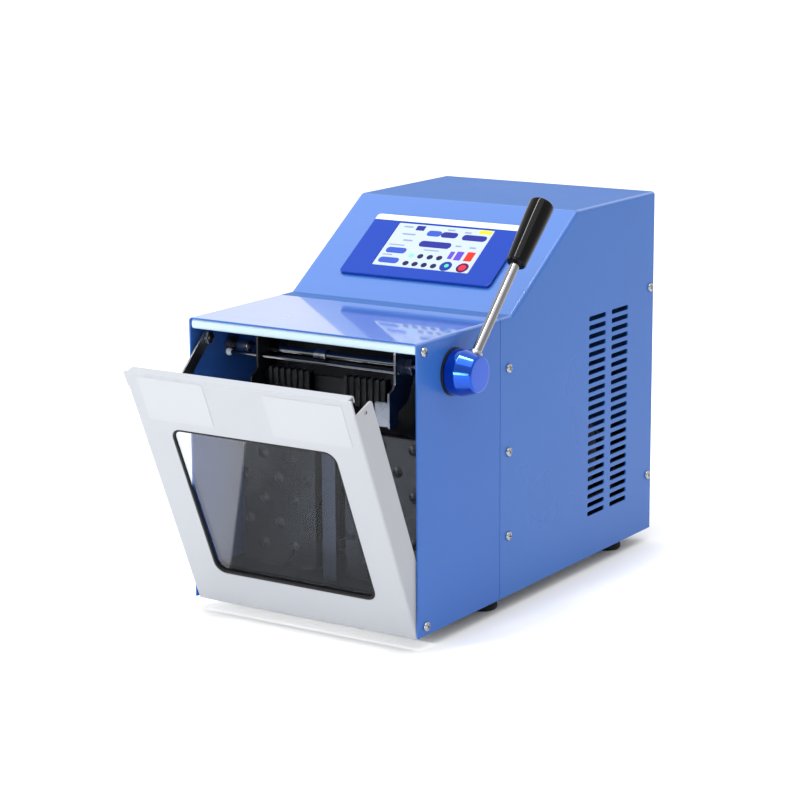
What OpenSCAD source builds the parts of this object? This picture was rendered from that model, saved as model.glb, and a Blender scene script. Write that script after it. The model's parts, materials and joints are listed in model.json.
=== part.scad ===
// Paddle blender homogenizer: a bench machine that beats a sample bag between two paddles and a tilting door.
// Axes: +X to the machine's right, +Y to its back, +Z up. All sizes in millimetres.
// Modules are drawn with x = 0 at the housing's middle, y = 0 at its front edge, z = 0 on the bench,
// and at_origin() moves them so that the origin is under the middle of the whole machine.

/* [Housing] */
// Width over the two side walls
body_w = 220; // [212:1:236]
// Depth from the front edge to the rear edge of the rear cover
body_d = 390; // [386:1:420]
// Height of the front hood, without the feet
hood_h = 235.5; // [234:0.5:250]
// Height of the rear cover, without the feet
cover_h = 308; // [304:1:325]
// Thickness of the bent sheet
wall = 1.5; // [1.2:0.1:2]
// Outer radius of the bends along the top
bend_r = 3; // [2.2:0.1:5]
// Distance from the front edge to the seam between hood and rear cover
seam_y = 124.4; // [120:0.2:130]
// Width of the seam
seam_gap = 0.4; // [0.2:0.1:0.8]
// Distance from the front edge to the foot of the slope
slope_foot_y = 142.4; // [141:0.2:146]
// Distance from the front edge to the top of the slope
slope_top_y = 250.4; // [246:0.2:256]
// Thickness of the base plate
base_t = 2; // [1.5:0.1:3]
// Clearance between sheets that slide into each other
sheet_gap = 0.2; // [0.1:0.05:0.3]

/* [Side vents] */
// Number of slots in each column
vent_count = 23; // [12:1:23]
// Distance from one slot to the next
vent_pitch = 7.85; // [7.6:0.05:8]
// Height of one slot
vent_slot_h = 4.2; // [3:0.1:5]
// Length of one slot
vent_slot_l = 30; // [20:1:34]
// Distance from the rear edge to the start of the first column
vent_in = 117.7; // [114:0.1:122]
// Distance from the start of one column to the next
vent_column_pitch = 40.5; // [36:0.5:46]
// Height of the lowest slot above the bench
vent_z = 48.6; // [40:0.2:52]

/* [Feet and screws] */
// Height of the rubber feet
foot_h = 12; // [10:0.5:16]
// Radius of the rubber feet
foot_r = 12.5; // [10:0.5:15]
// Distance of the feet from the housing's middle
foot_x = 89; // [80:1:92]
// Distance from the front edge to the front feet
foot_front_y = 131; // [120:1:140]
// Distance from the rear edge to the rear feet
foot_rear_in = 43; // [35:1:60]
// Radius of the shank of a housing screw
screw_r = 2; // [1.5:0.1:2.4]
// Radius of the head of a housing screw
screw_head_r = 4; // [3.2:0.1:4.6]
// Height of the head of a housing screw
screw_head_h = 2.2; // [1.6:0.1:2.8]

/* [Door] */
// Angle by which the door stands open at rest
door_open = 23.25; // [15:0.25:26]
// Gap between the door and each side wall
door_side_gap = 0.5; // [0.4:0.1:1]
// Height of the closed door's lower edge above the housing's lower edge
door_rise = 0.2; // [0:0.1:0.8]
// Distance from the hood's top down to the door's top edge
door_top_gap = 9.5; // [9.5:0.2:12.3]
// Thickness of the door sheet
door_t = 1.5; // [1.2:0.1:1.8]
// Depth of the door's side flanges
door_flange = 24; // [20:0.5:25]
// Distance from the door's top edge down to the top of its flanges
door_flange_drop = 13.8; // [13.8:1:20.8]
// Hinge axis behind the closed door's face
hinge_in = 4.5; // [4.4:0.1:6]
// Hinge axis above the closed door's lower edge
hinge_up = 4.3; // [4.2:0.1:6]
// Radius of the hinge pins
hinge_r = 2.2; // [1.6:0.1:2.4]
// Half width of the window opening
window_x = 79; // [65:1:82]
// Lower edge of the window opening above the door's lower edge
window_low = 32; // [28:1:50]
// Height of the door frame above the window
window_head = 50.8; // [47.8:1:83.8]
// Corner radius of the window opening
window_r = 10; // [6:1:16]
// Thickness of the window pane
pane_t = 3; // [2:0.2:3.4]
// How far the pane reaches past the opening
pane_lap = 6; // [4:0.5:8]
// Thickness of the gasket behind the door sheet
gasket_t = 1; // [0.6:0.1:1.2]

/* [Sample chamber] */
// Distance from the front edge to the chamber's back wall
chamber_d = 107; // [104:0.5:109]
// Thickness of the chamber's back wall
chamber_t = 2; // [1.5:0.1:2.5]
// Height of the chamber floor above the bench
floor_z = 34; // [30:0.5:35]
// Distance from the front edge to the chamber floor's lip
floor_y = 26; // [25.5:0.5:28]
// Height of the lamp rail under the hood's top
rail_h = 7.6; // [6.8:0.1:7.6]
// Depth of the lamp rail
rail_d = 11; // [9:0.5:13]

/* [Paddles] */
// Distance from the front edge to the paddle faces
paddle_y = 40; // [39:0.5:44]
// Thickness of a paddle
paddle_t = 10; // [8:0.5:12]
// Distance of a paddle's middle from the machine's middle
paddle_x = 51; // [50:0.5:53]
// Width of a paddle
paddle_w = 73; // [66:1:75]
// Distance from the hood's top down to the top of the paddles
paddle_drop = 86.5; // [86.5:1:99.5]
// Gap between the chamber floor and the paddles
paddle_gap = 4; // [3:0.5:4.5]
// Distance between columns of bumps
bump_pitch_x = 15; // [13:0.5:16]
// Distance between bumps in one column
bump_pitch_z = 38.3; // [34:0.1:40]
// Base radius of a bump
bump_r = 4.5; // [3.5:0.1:5.5]
// Height of a bump
bump_h = 2.6; // [2:0.1:3]
// Stroke of each paddle to either side of its rest place
stroke = 6; // [4:0.5:6]
// Radius of the push rods
push_r = 7; // [6:0.2:8]
// Height of the push rods above the bench
push_z = 100; // [96:0.5:102]

/* [Lever and clamp] */
// Distance from the front edge to the lever shaft
shaft_y = 52.6; // [50:0.2:55]
// Distance from the hood's top down to the lever's axis
shaft_drop = 30.5; // [28.5:0.2:32.5]
// Radius of the lever shaft
shaft_r = 3.5; // [3:0.1:4]
// Radius of the lever hub
hub_r = 18.5; // [16:0.5:20]
// Length of the lever hub
hub_l = 22.5; // [20:0.5:26]
// Radius of the hub's end face
hub_end_r = 14.5; // [12:0.5:15.5]
// Thickness of the black washer under the hub
washer_t = 1.8; // [1:0.1:2.5]
// Angle of the lever from upright, towards the back
lever_tilt = 44.3; // [35:0.1:50]
// Radius of the lever's steel rod
lever_r = 4; // [3.4:0.1:4.6]
// Distance from the shaft axis to the start of the grip
grip_start = 105.5; // [90:0.5:110]
// Length of the grip
grip_l = 61; // [50:1:70]
// Radius of the grip at its lower end
grip_r1 = 8.4; // [7:0.1:9]
// Radius of the grip at its upper end
grip_r2 = 10.3; // [9:0.1:11]
// Distance of the clamp arms from the machine's middle
arm_x = 66; // [62:1:70]
// Thickness of the clamp arms
arm_t = 2; // [1.5:0.1:3]
// Radius of the thin bag rod
bag_rod_r = 1.75; // [1.4:0.05:2]

/* [Door stay] */
// Distance from the front edge to the stay's pivot
stay_y = 15.6; // [14:0.2:17]
// Distance from the hood's top down to the stay's pivot
stay_drop = 18.5; // [17.5:0.1:18.9]
// Width of the stay strip
stay_w = 11; // [9:0.5:12]
// Thickness of the stay strip
stay_t = 1.5; // [1:0.1:1.8]
// Distance from the door's top edge down to the stay's pin
stay_pin_down = 60.8; // [50.8:1:70.8]
// Distance of that pin behind the closed door's face
stay_pin_in = 18; // [16:0.5:19]

/* [Touch panel] */
// Half width of the bezel
bezel_x = 75; // [72:0.5:80]
// Start of the bezel along the slope
bezel_low = 27; // [24:0.5:28]
// Length of the bezel along the slope
bezel_l = 76; // [72:0.5:80]
// Thickness of the bezel on the slope
bezel_t = 3; // [2:0.1:4]
// Half width of the display
screen_x = 48; // [44:0.5:52]
// Start of the display along the slope
screen_low = 40; // [38:0.5:42]
// Length of the display along the slope
screen_l = 54; // [50:0.5:56]

/* [Drive] */
// Distance from the rear edge to the crank shaft
crank_in = 128; // [126:0.5:132]
// Radius of the crank shaft
crank_r = 7.5; // [6.5:0.1:8]
// Radius of the eccentric discs
eccentric_r = 14; // [14:0.1:15]
// Distance from the crank shaft to the wrist pins
con_rod_l = 68; // [64:0.5:70]
// Radius of the driven pulley's crown
big_pulley_r = 40; // [36:0.5:42]
// Radius of the motor pulley's crown
small_pulley_r = 15; // [12:0.5:16]
// Distance from the crank shaft back to the motor shaft
motor_back = 75; // [74:0.5:78]
// Height of the motor shaft above the bench
motor_z = 75; // [72:0.5:80]
// Radius of the motor
motor_r = 34; // [30:0.5:35]

/* [Rear panel] */
// Distance from the cover's top down to the fan's axis
fan_drop = 65; // [58:1:80]
// Side of the square fan
fan_w = 80; // [70:1:84]
// Distance of the mains inlet and the switch from the right wall
power_in = 30; // [28:0.5:34]
// Height of the mains inlet above the bench
inlet_z = 50; // [46:0.5:54]
// Height of the power switch above the bench
switch_z = 92; // [88:0.5:100]

/* [Hidden] */
$fn = 64;

big = 1000;
half_w = body_w / 2;
in_x = half_w - wall;
hood_top = foot_h + hood_h;
cover_top = foot_h + cover_h;
base_top = foot_h + base_t;
foot_rear_y = body_d - foot_rear_in;
vent_y = body_d - vent_in;
fit = 0.05;
run_gap = 0.3;

// Slope: its angle, and the shift of the sheet's inner face at each bend
slope_rise = cover_top - hood_top;
slope_run = slope_top_y - slope_foot_y;
slope_angle = atan2(slope_rise, slope_run);
slope_shift = wall * tan(slope_angle / 2);

// Strips behind the seam, and screws that hold the sheets
strip_w = 20;
strip_t = 1.5;
strip_low = 10;
panel_in = 0.5;
panel_y = body_d - panel_in - wall;
panel_flange = 18;
screw_fit = 0.1;
recess_w = 1;
recess_d = 1;
rail_grip = 3;
seam_screw_y = seam_y + 13;
rear_screw_y = body_d - 6.5;
front_screws = [[9.6, hood_top - 7.9], [11.8, foot_h + 7.4]];
seam_screws = [for (z = [hood_h - 42.9, hood_h / 2 + 4.95, 51.4]) [seam_screw_y, foot_h + z]];
rear_side_screws = [for (z = [cover_h - 85.1, 50.6]) [rear_screw_y, foot_h + z]];

// Door in its closed place: hinge axis and main edges
door_x = in_x - door_side_gap;
door_low = foot_h + door_rise;
door_top = hood_top - door_top_gap;
door_h = door_top - door_low;
door_flange_top = door_h - door_flange_drop;
hinge_y = hinge_in;
hinge_z = door_low + hinge_up;
hinge_head_r = hinge_in - door_t - 0.2;
window_z = door_low + window_low;
window_h = door_h - window_low - window_head;
pane_y = door_t + gasket_t;
hem_d = 9;
hem_drop = 6;
hem_x = door_x - 3.5;
stay_z = hood_top - stay_drop;
stay_pin_z = door_top - stay_pin_down;
stay_pin_r = 3;
eyelet_y = 13.8;
eyelet_z = door_low + door_flange_top - 5;

// Where the stay's pin lies with the door open, and how the strip then points
open_pin_y = hinge_y + (stay_pin_in - hinge_y) * cos(door_open) - (stay_pin_z - hinge_z) * sin(door_open);
open_pin_z = hinge_z + (stay_pin_in - hinge_y) * sin(door_open) + (stay_pin_z - hinge_z) * cos(door_open);
stay_reach = norm([open_pin_y - stay_y, open_pin_z - stay_z]);
stay_near = norm([stay_pin_in - stay_y, stay_pin_z - stay_z]);
stay_angle = atan2(stay_y - open_pin_y, stay_z - open_pin_z);
stay_x = door_x - door_t - 1.3;
stay_pivot_r = 3;

// Chamber and paddles
lip_t = 1.5;
paddle_low = floor_z + paddle_gap;
paddle_h = hood_top - paddle_drop - paddle_low;
paddle_corner = 6;
bump_ball = (bump_r * bump_r + bump_h * bump_h) / (2 * bump_h);
bump_low = paddle_low + 18;
bar_w = 13.5;
bar_t = 6;
bar_y = paddle_y - 2;
post_r = 4;
head_half = 11;
wrist_r = 4;
crank_y = body_d - crank_in;
wrist_y = crank_y - con_rod_l;
rod_back = wrist_y - 16;
head_y = rod_back - 2;
con_t = 10;
con_ring_in = eccentric_r + 2.5 * stroke;
con_ring_out = con_ring_in + 6;
frame_y = chamber_d + chamber_t + 3;
frame_t = (rod_back - frame_y) * 5 / 11;
bush_r = push_r + 4;
wiper_r = push_r + 5;

// Crank, pulleys and motor
block_in = half_w - 46;
block_t = 14;
bearing_r = crank_r + 8.5;
bearing_t = 9;
pulley_in = half_w - 22;
pulley_t = 12;
flange_t = 1.5;
flange_r = 3;
belt_t = 3;
motor_y = crank_y + motor_back;
motor_shaft_r = 5;
motor_low_x = 30 - half_w;
motor_high_x = half_w - 56;
shelf_z = push_z + 60;
screen_drop = 0.6;
shelf_t = 1.5;
shelf_x = in_x - 4;
shelf_top = shelf_z + shelf_t;

// Lever and clamp
shaft_z = hood_top - shaft_drop;
hub_x = half_w + washer_t + 0.4;
hub_straight = 9;
hub_edge = 0.8;
shaft_in = 16;
lever_x = hub_x + 10.3;
rod_in = 8;
bush_out = shaft_r + 3.5;
arm_drop = 47;
arm_front = 27.6;
collar_r = 5.2;
collar_l = 11;
collar_places = [17.3 - half_w, -15.1];
tab_w = 12;
tab_h = 20;
bar_front = shaft_y - 8.6;
bar_low = shaft_z - 29;
clamp_h = 14;
clamp_t = 3;
pad_x = 17;
pad_w = 40;
pad_low = shaft_z - 34;
pad_h = 22;
pad_t = 6.5;
rib_count = 7;
rib_w = 3.4;
rib_t = 1.6;
bag_y = shaft_y - 13.6;
bag_z = shaft_z - 3.5;
bag_left = 11 - half_w;
ball_r = 3.2;

// Rear parts
fan_z = cover_top - fan_drop;
power_x = half_w - power_in;
fan_t = 25;
fan_bore = fan_w / 2 - 2;
fan_hub = 14;
fan_hole = fan_w / 2 - 4.25;
guard_y = panel_y + wall;
guard_t = 2;
guard_step = 9;
socket_w = 28;
socket_h = 20;
socket_d = 26;
rocker_half = 8.5;
rocker_tilt = 8;

// Extent of the whole machine, for its origin
left_most = -half_w - screw_head_h;
right_most = hub_x + hub_l;
front_most = hinge_y - hinge_y * cos(door_open) - (door_top - hinge_z) * sin(door_open);
rear_most = guard_y + guard_t + screw_head_h;
origin_x = (left_most + right_most) / 2;
origin_y = (front_most + rear_most) / 2;

module at_origin() { translate([-origin_x, -origin_y, 0]) children(); }

// A box between two corners
module box(low, high) { translate(low) cube(high - low); }

// A cylinder along X, Y or Z between two values on that axis
module rod_x(r, x0, x1, y, z) { translate([x0, y, z]) rotate([0, 90, 0]) cylinder(r = r, h = x1 - x0); }
module rod_y(r, y0, y1, x, z) { translate([x, y0, z]) rotate([-90, 0, 0]) cylinder(r = r, h = y1 - y0); }
module rod_z(r, z0, z1, x, y) { translate([x, y, z0]) cylinder(r = r, h = z1 - z0); }

// A side view, drawn in Y and Z, made x0 to x1 thick
module side_slab(x0, x1) { translate([x0, 0, 0]) rotate([90, 0, 90]) linear_extrude(x1 - x0) children(); }

// A front view, drawn in X and Z, made y0 to y1 thick
module front_slab(y0, y1) { translate([0, y1, 0]) rotate([90, 0, 0]) linear_extrude(y1 - y0) children(); }

module mirror_x() {
    children();
    mirror([1, 0, 0]) children();
}

// A rectangle with round corners, as plain squares and circles
module round_rect(x0, z0, x1, z1, r) {
    translate([x0 + r, z0]) square([x1 - x0 - 2 * r, z1 - z0]);
    translate([x0, z0 + r]) square([x1 - x0, z1 - z0 - 2 * r]);
    for (x = [x0 + r, x1 - r]) for (z = [z0 + r, z1 - r]) translate([x, z]) circle(r);
}

// A bar with round ends from one point to another
module round_bar(from, to, r) {
    translate(from) circle(r);
    translate(to) circle(r);
    reach = norm(to - from);
    translate(from) rotate(atan2(to[1] - from[1], to[0] - from[0])) translate([0, -r]) square([reach, 2 * r]);
}

// The outline of a loop drawn tight round two circles
module loop_outline(a, ra, b, rb) {
    hull() {
        translate(a) circle(ra);
        translate(b) circle(rb);
    }
}

// Holes for the housing screws at the given places, through the right wall or the left
module screw_holes(places, inner) {
    for (p = places) mirror_x() rod_x(screw_r + screw_fit, inner, half_w + 1, p[0], p[1]);
}

// A pan head screw with a cross recess: its head stands on z = 0, its shank hangs below
module pan_screw(shank) {
    rod_z(screw_r, -shank, 0, 0, 0);
    difference() {
        rod_z(screw_head_r, 0, screw_head_h, 0, 0);
        translate([0, 0, screw_head_h]) {
            cube([screw_head_r * 1.2, recess_w, 2 * recess_d], center = true);
            cube([recess_w, screw_head_r * 1.2, 2 * recess_d], center = true);
        }
    }
}

// A housing screw in the right wall, with its shank ending at the given x
module side_screw(place, inner) {
    translate([half_w, place[0], place[1]]) rotate([0, 90, 0]) pan_screw(half_w - inner);
}

// What lies on the slope, drawn with x across, y along the slope and z out of it
module on_slope() { translate([0, slope_foot_y, hood_top]) rotate([slope_angle, 0, 0]) children(); }

// What belongs to the door, drawn closed and tilted to its rest place
module door_place() {
    translate([0, hinge_y, hinge_z]) rotate([door_open, 0, 0]) translate([0, -hinge_y, -hinge_z]) children();
}

module front_hood() color("royalblue") {
    difference() {
        front_slab(0, seam_y - seam_gap) difference() {
            union() {
                round_rect(-half_w, hood_top - 3 * bend_r, half_w, hood_top, bend_r);
                translate([-half_w, foot_h]) square([body_w, hood_h - bend_r]);
            }
            translate([-in_x, 0]) square([2 * in_x, hood_top - wall]);
        }
        screw_holes(front_screws, in_x - 1);
        mirror_x() rod_x(bush_out + fit, in_x - 1, half_w + 1, shaft_y, shaft_z);
    }
    mirror_x() difference() {
        union() {
            box([in_x - sheet_gap - strip_t, seam_y - strip_w / 2, base_top + strip_low],
                [in_x - sheet_gap, seam_y + strip_w, hood_top - strip_low]);
            box([in_x - strip_t, seam_y - strip_w / 2, base_top + strip_low],
                [in_x + wall / 2, seam_y - 2 * seam_gap, hood_top - strip_low]);
        }
        for (p = seam_screws) rod_x(screw_r + screw_fit, in_x - 5, in_x + 5, p[0], p[1]);
    }
}

module cover_outline(inner) {
    t = inner ? wall : 0;
    shift = inner ? slope_shift : 0;
    low = inner ? 0 : foot_h;
    front = inner ? 0 : seam_y;
    back = inner ? body_d + 1 : body_d;
    polygon([[front, low], [front, hood_top - t], [slope_foot_y + shift, hood_top - t],
        [slope_top_y + shift, cover_top - t], [back, cover_top - t], [back, low]]);
}

module rear_cover() color("cornflowerblue") difference() {
    side_slab(-half_w, half_w) cover_outline(false);
    side_slab(-in_x, in_x) cover_outline(true);
    mirror_x() for (column = [0, 1]) for (i = [0 : vent_count - 1])
        translate([in_x - 1, vent_y + column * vent_column_pitch, vent_z + i * vent_pitch])
            cube([wall + 2, vent_slot_l, vent_slot_h]);
    on_slope() translate([-bezel_x + 6, bezel_low + 4, -10]) cube([2 * bezel_x - 12, bezel_l - 8, 20]);
    screw_holes(seam_screws, in_x - 1);
    screw_holes(rear_side_screws, in_x - 1);
}

module rear_panel() color("lightsteelblue") difference() {
    union() {
        panel_top = cover_top - wall - sheet_gap;
        box([-in_x + sheet_gap, panel_y, foot_h], [in_x - sheet_gap, panel_y + wall, panel_top]);
        mirror_x() box([in_x - sheet_gap - strip_t, panel_y - panel_flange, base_top + 2],
            [in_x - sheet_gap, panel_y + wall, panel_top]);
    }
    rod_y(fan_bore - 1, panel_y - 1, panel_y + wall + 1, 0, fan_z);
    for (x = [-1, 1]) for (z = [-1, 1])
        rod_y(screw_r + screw_fit, panel_y - 1, panel_y + wall + 1, x * fan_hole, fan_z + z * fan_hole);
    box([power_x - socket_w / 2, panel_y - 1, inlet_z - socket_h / 2],
        [power_x + socket_w / 2, panel_y + wall + 1, inlet_z + socket_h / 2]);
    box([power_x - 11, panel_y - 1, switch_z - 15], [power_x + 11, panel_y + wall + 1, switch_z + 15]);
    for (p = rear_side_screws) mirror_x() rod_x(screw_r + screw_fit, in_x - 5, in_x + 1, p[0], p[1]);
}

module base_plate() color("lightsteelblue") difference() {
    box([-in_x + sheet_gap, floor_y, foot_h], [in_x - sheet_gap, panel_y - sheet_gap, base_top]);
    for (x = [-foot_x, foot_x]) for (y = [foot_front_y, foot_rear_y])
        rod_z(screw_r + screw_fit, foot_h - 1, base_top + 1, x, y);
}

module light_rail() color("azure") {
    rail_x = in_x - sheet_gap;
    top = hood_top - wall - sheet_gap;
    difference() {
        box([-rail_x, 0.6, top - rail_h], [rail_x, rail_d, top]);
        mirror_x() rod_x(screw_r + screw_fit, rail_x - 6, rail_x + 1, front_screws[0][0], front_screws[0][1]);
    }
}

module chamber_back() color("#181a1e") difference() {
    box([-in_x + sheet_gap, chamber_d, base_top],
        [in_x - sheet_gap, chamber_d + chamber_t, hood_top - wall - sheet_gap]);
    mirror_x() rod_y(push_r + 1, chamber_d - 1, chamber_d + chamber_t + 1, paddle_x, push_z);
}

module chamber_floor() color("#202329") {
    box([-in_x + run_gap, floor_y, floor_z - lip_t], [in_x - run_gap, chamber_d, floor_z]);
    box([-in_x + run_gap, floor_y, base_top], [in_x - run_gap, floor_y + lip_t, floor_z]);
}

module centre_bar() color("silver") {
    bar_top = paddle_low + paddle_h - 2;
    box([-bar_w / 2, bar_y, floor_z], [bar_w / 2, bar_y + bar_t, bar_top]);
    for (z = [floor_z + 26, bar_top - 20]) rod_y(post_r, bar_y + bar_t, chamber_d, 0, z);
}

module touch_bezel() color("#2f66d8") on_slope() difference() {
    union() {
        linear_extrude(bezel_t) round_rect(-bezel_x, bezel_low, bezel_x, bezel_low + bezel_l, 8);
        translate([-bezel_x + 6.2, bezel_low + 4.2, -13]) cube([2 * bezel_x - 12.4, bezel_l - 8.4, 13]);
    }
    translate([-bezel_x + 8.2, bezel_low + 6.2, -14]) cube([2 * bezel_x - 16.4, bezel_l - 12.4, 14]);
    translate([-screen_x, screen_low, -1]) cube([2 * screen_x, screen_l, bezel_t + 2]);
}

module touch_screen() color("white") on_slope() {
    box([-screen_x + fit, screen_low + fit, -fit],
        [screen_x - fit, screen_low + screen_l - fit, bezel_t - screen_drop]);
    box([-screen_x - 2, screen_low - 2, -6], [screen_x + 2, screen_low + screen_l + 2, -fit]);
}

module display_board() color("seagreen") on_slope()
    translate([-bezel_x + 8.4, bezel_low + 6.4, -12]) {
        board = [2 * bezel_x - 16.8, bezel_l - 12.8, 1.6];
        cube(board);
        translate([board[0] / 2 - 20, board[1] / 2 - 15, -4]) cube([40, 30, 4]);
        for (x = [25, board[0] - 25]) for (y = [12, board[1] - 12]) translate([x, y, board[2]])
            cylinder(r = 3, h = 12 - 6 - board[2] - 0.1);
    }

module side_screws() color("silver") mirror_x() {
    side_screw(front_screws[0], in_x - rail_grip);
    side_screw(front_screws[1], in_x);
    for (p = seam_screws) side_screw(p, in_x - sheet_gap - strip_t - 1);
    for (p = rear_side_screws) side_screw(p, in_x - sheet_gap - strip_t - 1);
}

module pan_screws() color("silver") {
    for (x = [-fan_hole, fan_hole]) for (z = [-fan_hole, fan_hole])
        translate([x, guard_y + guard_t, fan_z + z]) rotate([-90, 0, 0]) pan_screw(guard_t + wall + 10);
    for (x = [-foot_x, foot_x]) for (y = [foot_front_y, foot_rear_y])
        translate([x, y, foot_h / 2]) rotate([180, 0, 0]) pan_screw(foot_h / 2 + base_t + 4);
}

module feet() color("#161616")
    for (x = [-foot_x, foot_x]) for (y = [foot_front_y, foot_rear_y]) difference() {
        rod_z(foot_r, 0, foot_h, x, y);
        rod_z(screw_head_r + 1, -1, foot_h / 2, x, y);
        rod_z(screw_r + screw_fit, 0, foot_h + 1, x, y);
    }

module hinge_pins() color("silver") mirror_x() {
    rod_x(hinge_r, door_x - door_t - 0.6, in_x, hinge_y, hinge_z);
    rod_x(hinge_head_r, door_x - door_t - 2, door_x - door_t - 0.6, hinge_y, hinge_z);
}

module hub_washer() color("#101114") difference() {
    rod_x(hub_r + 1, half_w, half_w + washer_t, shaft_y, shaft_z);
    rod_x(bush_out + fit, half_w - 1, half_w + washer_t + 1, shaft_y, shaft_z);
}

module shaft_bushes() color("#b08d57") {
    difference() {
        rod_x(bush_out, in_x - 4, half_w + washer_t, shaft_y, shaft_z);
        rod_x(shaft_r + fit, in_x - 5, half_w + 5, shaft_y, shaft_z);
    }
    difference() {
        rod_x(bush_out, -half_w - 1.5, -in_x + 4, shaft_y, shaft_z);
        rod_x(shaft_r + fit, -half_w, -in_x + 5, shaft_y, shaft_z);
    }
}

module stay_pivot() color("silver") {
    rod_x(stay_pivot_r, -in_x, -stay_x + stay_t + 0.4, stay_y, stay_z);
    translate([-stay_x + stay_t + 0.4, stay_y, stay_z]) rotate([0, 90, 0]) cylinder(r = 5.6, h = 4, $fn = 6);
}

module electronics_shelf() color("gainsboro")
    box([-shelf_x, chamber_d + chamber_t, shelf_z], [shelf_x, panel_y, shelf_z + shelf_t]);

module power_supply() color("silver")
    box([-95, slope_foot_y + 30, shelf_top], [-25, slope_foot_y + 140, shelf_top + 36]);

module motor_controller() color("#2a2d33") {
    front = slope_foot_y + 45;
    box([15, front, shelf_top], [90, front + 105, shelf_top + 8]);
    for (y = [front + 5 : 11 : front + 94]) box([15, y, shelf_top + 8], [90, y + 4, shelf_top + 34]);
}

module drive_frame() color("lightgray") difference() {
    union() {
        box([-paddle_x - 27, frame_y, push_z - 18], [paddle_x + 27, frame_y + frame_t, push_z + 18]);
        mirror_x() box([paddle_x + 7, frame_y, base_top], [paddle_x + 27, frame_y + frame_t, push_z]);
    }
    mirror_x() rod_y(bush_r, frame_y - 1, frame_y + frame_t + 1, paddle_x, push_z);
}

module rod_bushes() color("#c8a15a") mirror_x() difference() {
    rod_y(bush_r, frame_y, frame_y + frame_t, paddle_x, push_z);
    rod_y(push_r + fit, frame_y - 1, frame_y + frame_t + 1, paddle_x, push_z);
}

module rod_wipers() color("#15161a") mirror_x() difference() {
    rod_y(wiper_r, chamber_d - 3, chamber_d, paddle_x, push_z);
    rod_y(push_r + run_gap, chamber_d - 4, chamber_d + 1, paddle_x, push_z);
}

module bearing_blocks() color("lightgray") mirror_x() difference() {
    union() {
        box([block_in, crank_y - 26, base_top], [block_in + block_t, crank_y + 26, push_z]);
        rod_x(26, block_in, block_in + block_t, crank_y, push_z);
    }
    rod_x(bearing_r, block_in - 1, block_in + block_t + 1, crank_y, push_z);
}

module shaft_bearings() color("silver") {
    middle = block_in + block_t / 2;
    mirror_x() difference() {
        rod_x(bearing_r, middle - bearing_t / 2, middle + bearing_t / 2, crank_y, push_z);
        rod_x(crank_r + fit, middle - bearing_t, middle + bearing_t, crank_y, push_z);
    }
}

module motor_body() color("#3a3d44") difference() {
    union() {
        rod_x(motor_r, motor_low_x, motor_high_x, motor_y, motor_z);
        rod_x(motor_r * 0.6, motor_high_x, motor_high_x + 6, motor_y, motor_z);
    }
    rod_x(motor_shaft_r + fit, motor_high_x - 10, motor_high_x + 7, motor_y, motor_z);
}

module motor_mount() color("lightgray") difference() {
    half = motor_r - 6;
    box([motor_low_x + 20, motor_y - half, base_top],
        [motor_high_x - 20, motor_y + half, motor_z - motor_r / 2]);
    rod_x(motor_r, motor_low_x, motor_high_x, motor_y, motor_z);
}

module drive_belt() color("#1a1a1c") {
    a = [crank_y, push_z];
    b = [motor_y, motor_z];
    side_slab(pulley_in + flange_t + run_gap, pulley_in + pulley_t - flange_t - run_gap) difference() {
        loop_outline(a, big_pulley_r + run_gap + belt_t, b, small_pulley_r + run_gap + belt_t);
        loop_outline(a, big_pulley_r + run_gap, b, small_pulley_r + run_gap);
    }
}

module fan_frame() color("#1b1c1f") {
    fan_y = panel_y - fan_t;
    difference() {
        box([-fan_w / 2, fan_y, fan_z - fan_w / 2], [fan_w / 2, panel_y, fan_z + fan_w / 2]);
        rod_y(fan_bore, fan_y - 1, panel_y + 1, 0, fan_z);
        for (x = [-1, 1]) for (z = [-1, 1])
            rod_y(screw_r + screw_fit, fan_y - 1, panel_y + 1, x * fan_hole, fan_z + z * fan_hole);
    }
    rod_y(fan_hub, fan_y, fan_y + 6, 0, fan_z);
    for (turn = [0 : 90 : 270]) translate([0, 0, fan_z]) rotate([0, turn + 45, 0])
        box([fan_hub - 1, fan_y, -2], [fan_bore + 1, fan_y + 3, 2]);
}

module fan_guard() color("silver") translate([0, 0, fan_z]) front_slab(guard_y, guard_y + guard_t)
    difference() {
        union() {
            for (r = [guard_step : guard_step : fan_bore]) difference() {
                circle(r + guard_t);
                circle(r);
            }
            for (turn = [45 : 90 : 315]) rotate(turn) {
                translate([guard_step, -guard_t / 2]) square([fan_hole * sqrt(2) - guard_step, guard_t]);
                translate([fan_hole * sqrt(2), 0]) circle(screw_head_r + 1);
            }
        }
        for (x = [-fan_hole, fan_hole]) for (z = [-fan_hole, fan_hole])
            translate([x, z]) circle(screw_r + screw_fit);
    }

module inlet_socket() color("#141417") {
    back = panel_y + wall;
    difference() {
        union() {
            box([power_x - socket_w / 2 + fit, back - socket_d, inlet_z - socket_h / 2 + fit],
                [power_x + socket_w / 2 - fit, back, inlet_z + socket_h / 2 - fit]);
            box([power_x - 24, back, inlet_z - 12], [power_x + 24, back + 2, inlet_z + 12]);
        }
        box([power_x - socket_w / 2 + 2, back - 20, inlet_z - socket_h / 2 + 2],
            [power_x + socket_w / 2 - 2, back + 3, inlet_z + socket_h / 2 - 2]);
    }
    for (p = [[-7, -2], [0, 3], [7, -2]]) box([power_x + p[0] - 1, back - 20.5, inlet_z + p[1] - 2],
        [power_x + p[0] + 1, back - 7, inlet_z + p[1] + 2]);
}

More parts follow.
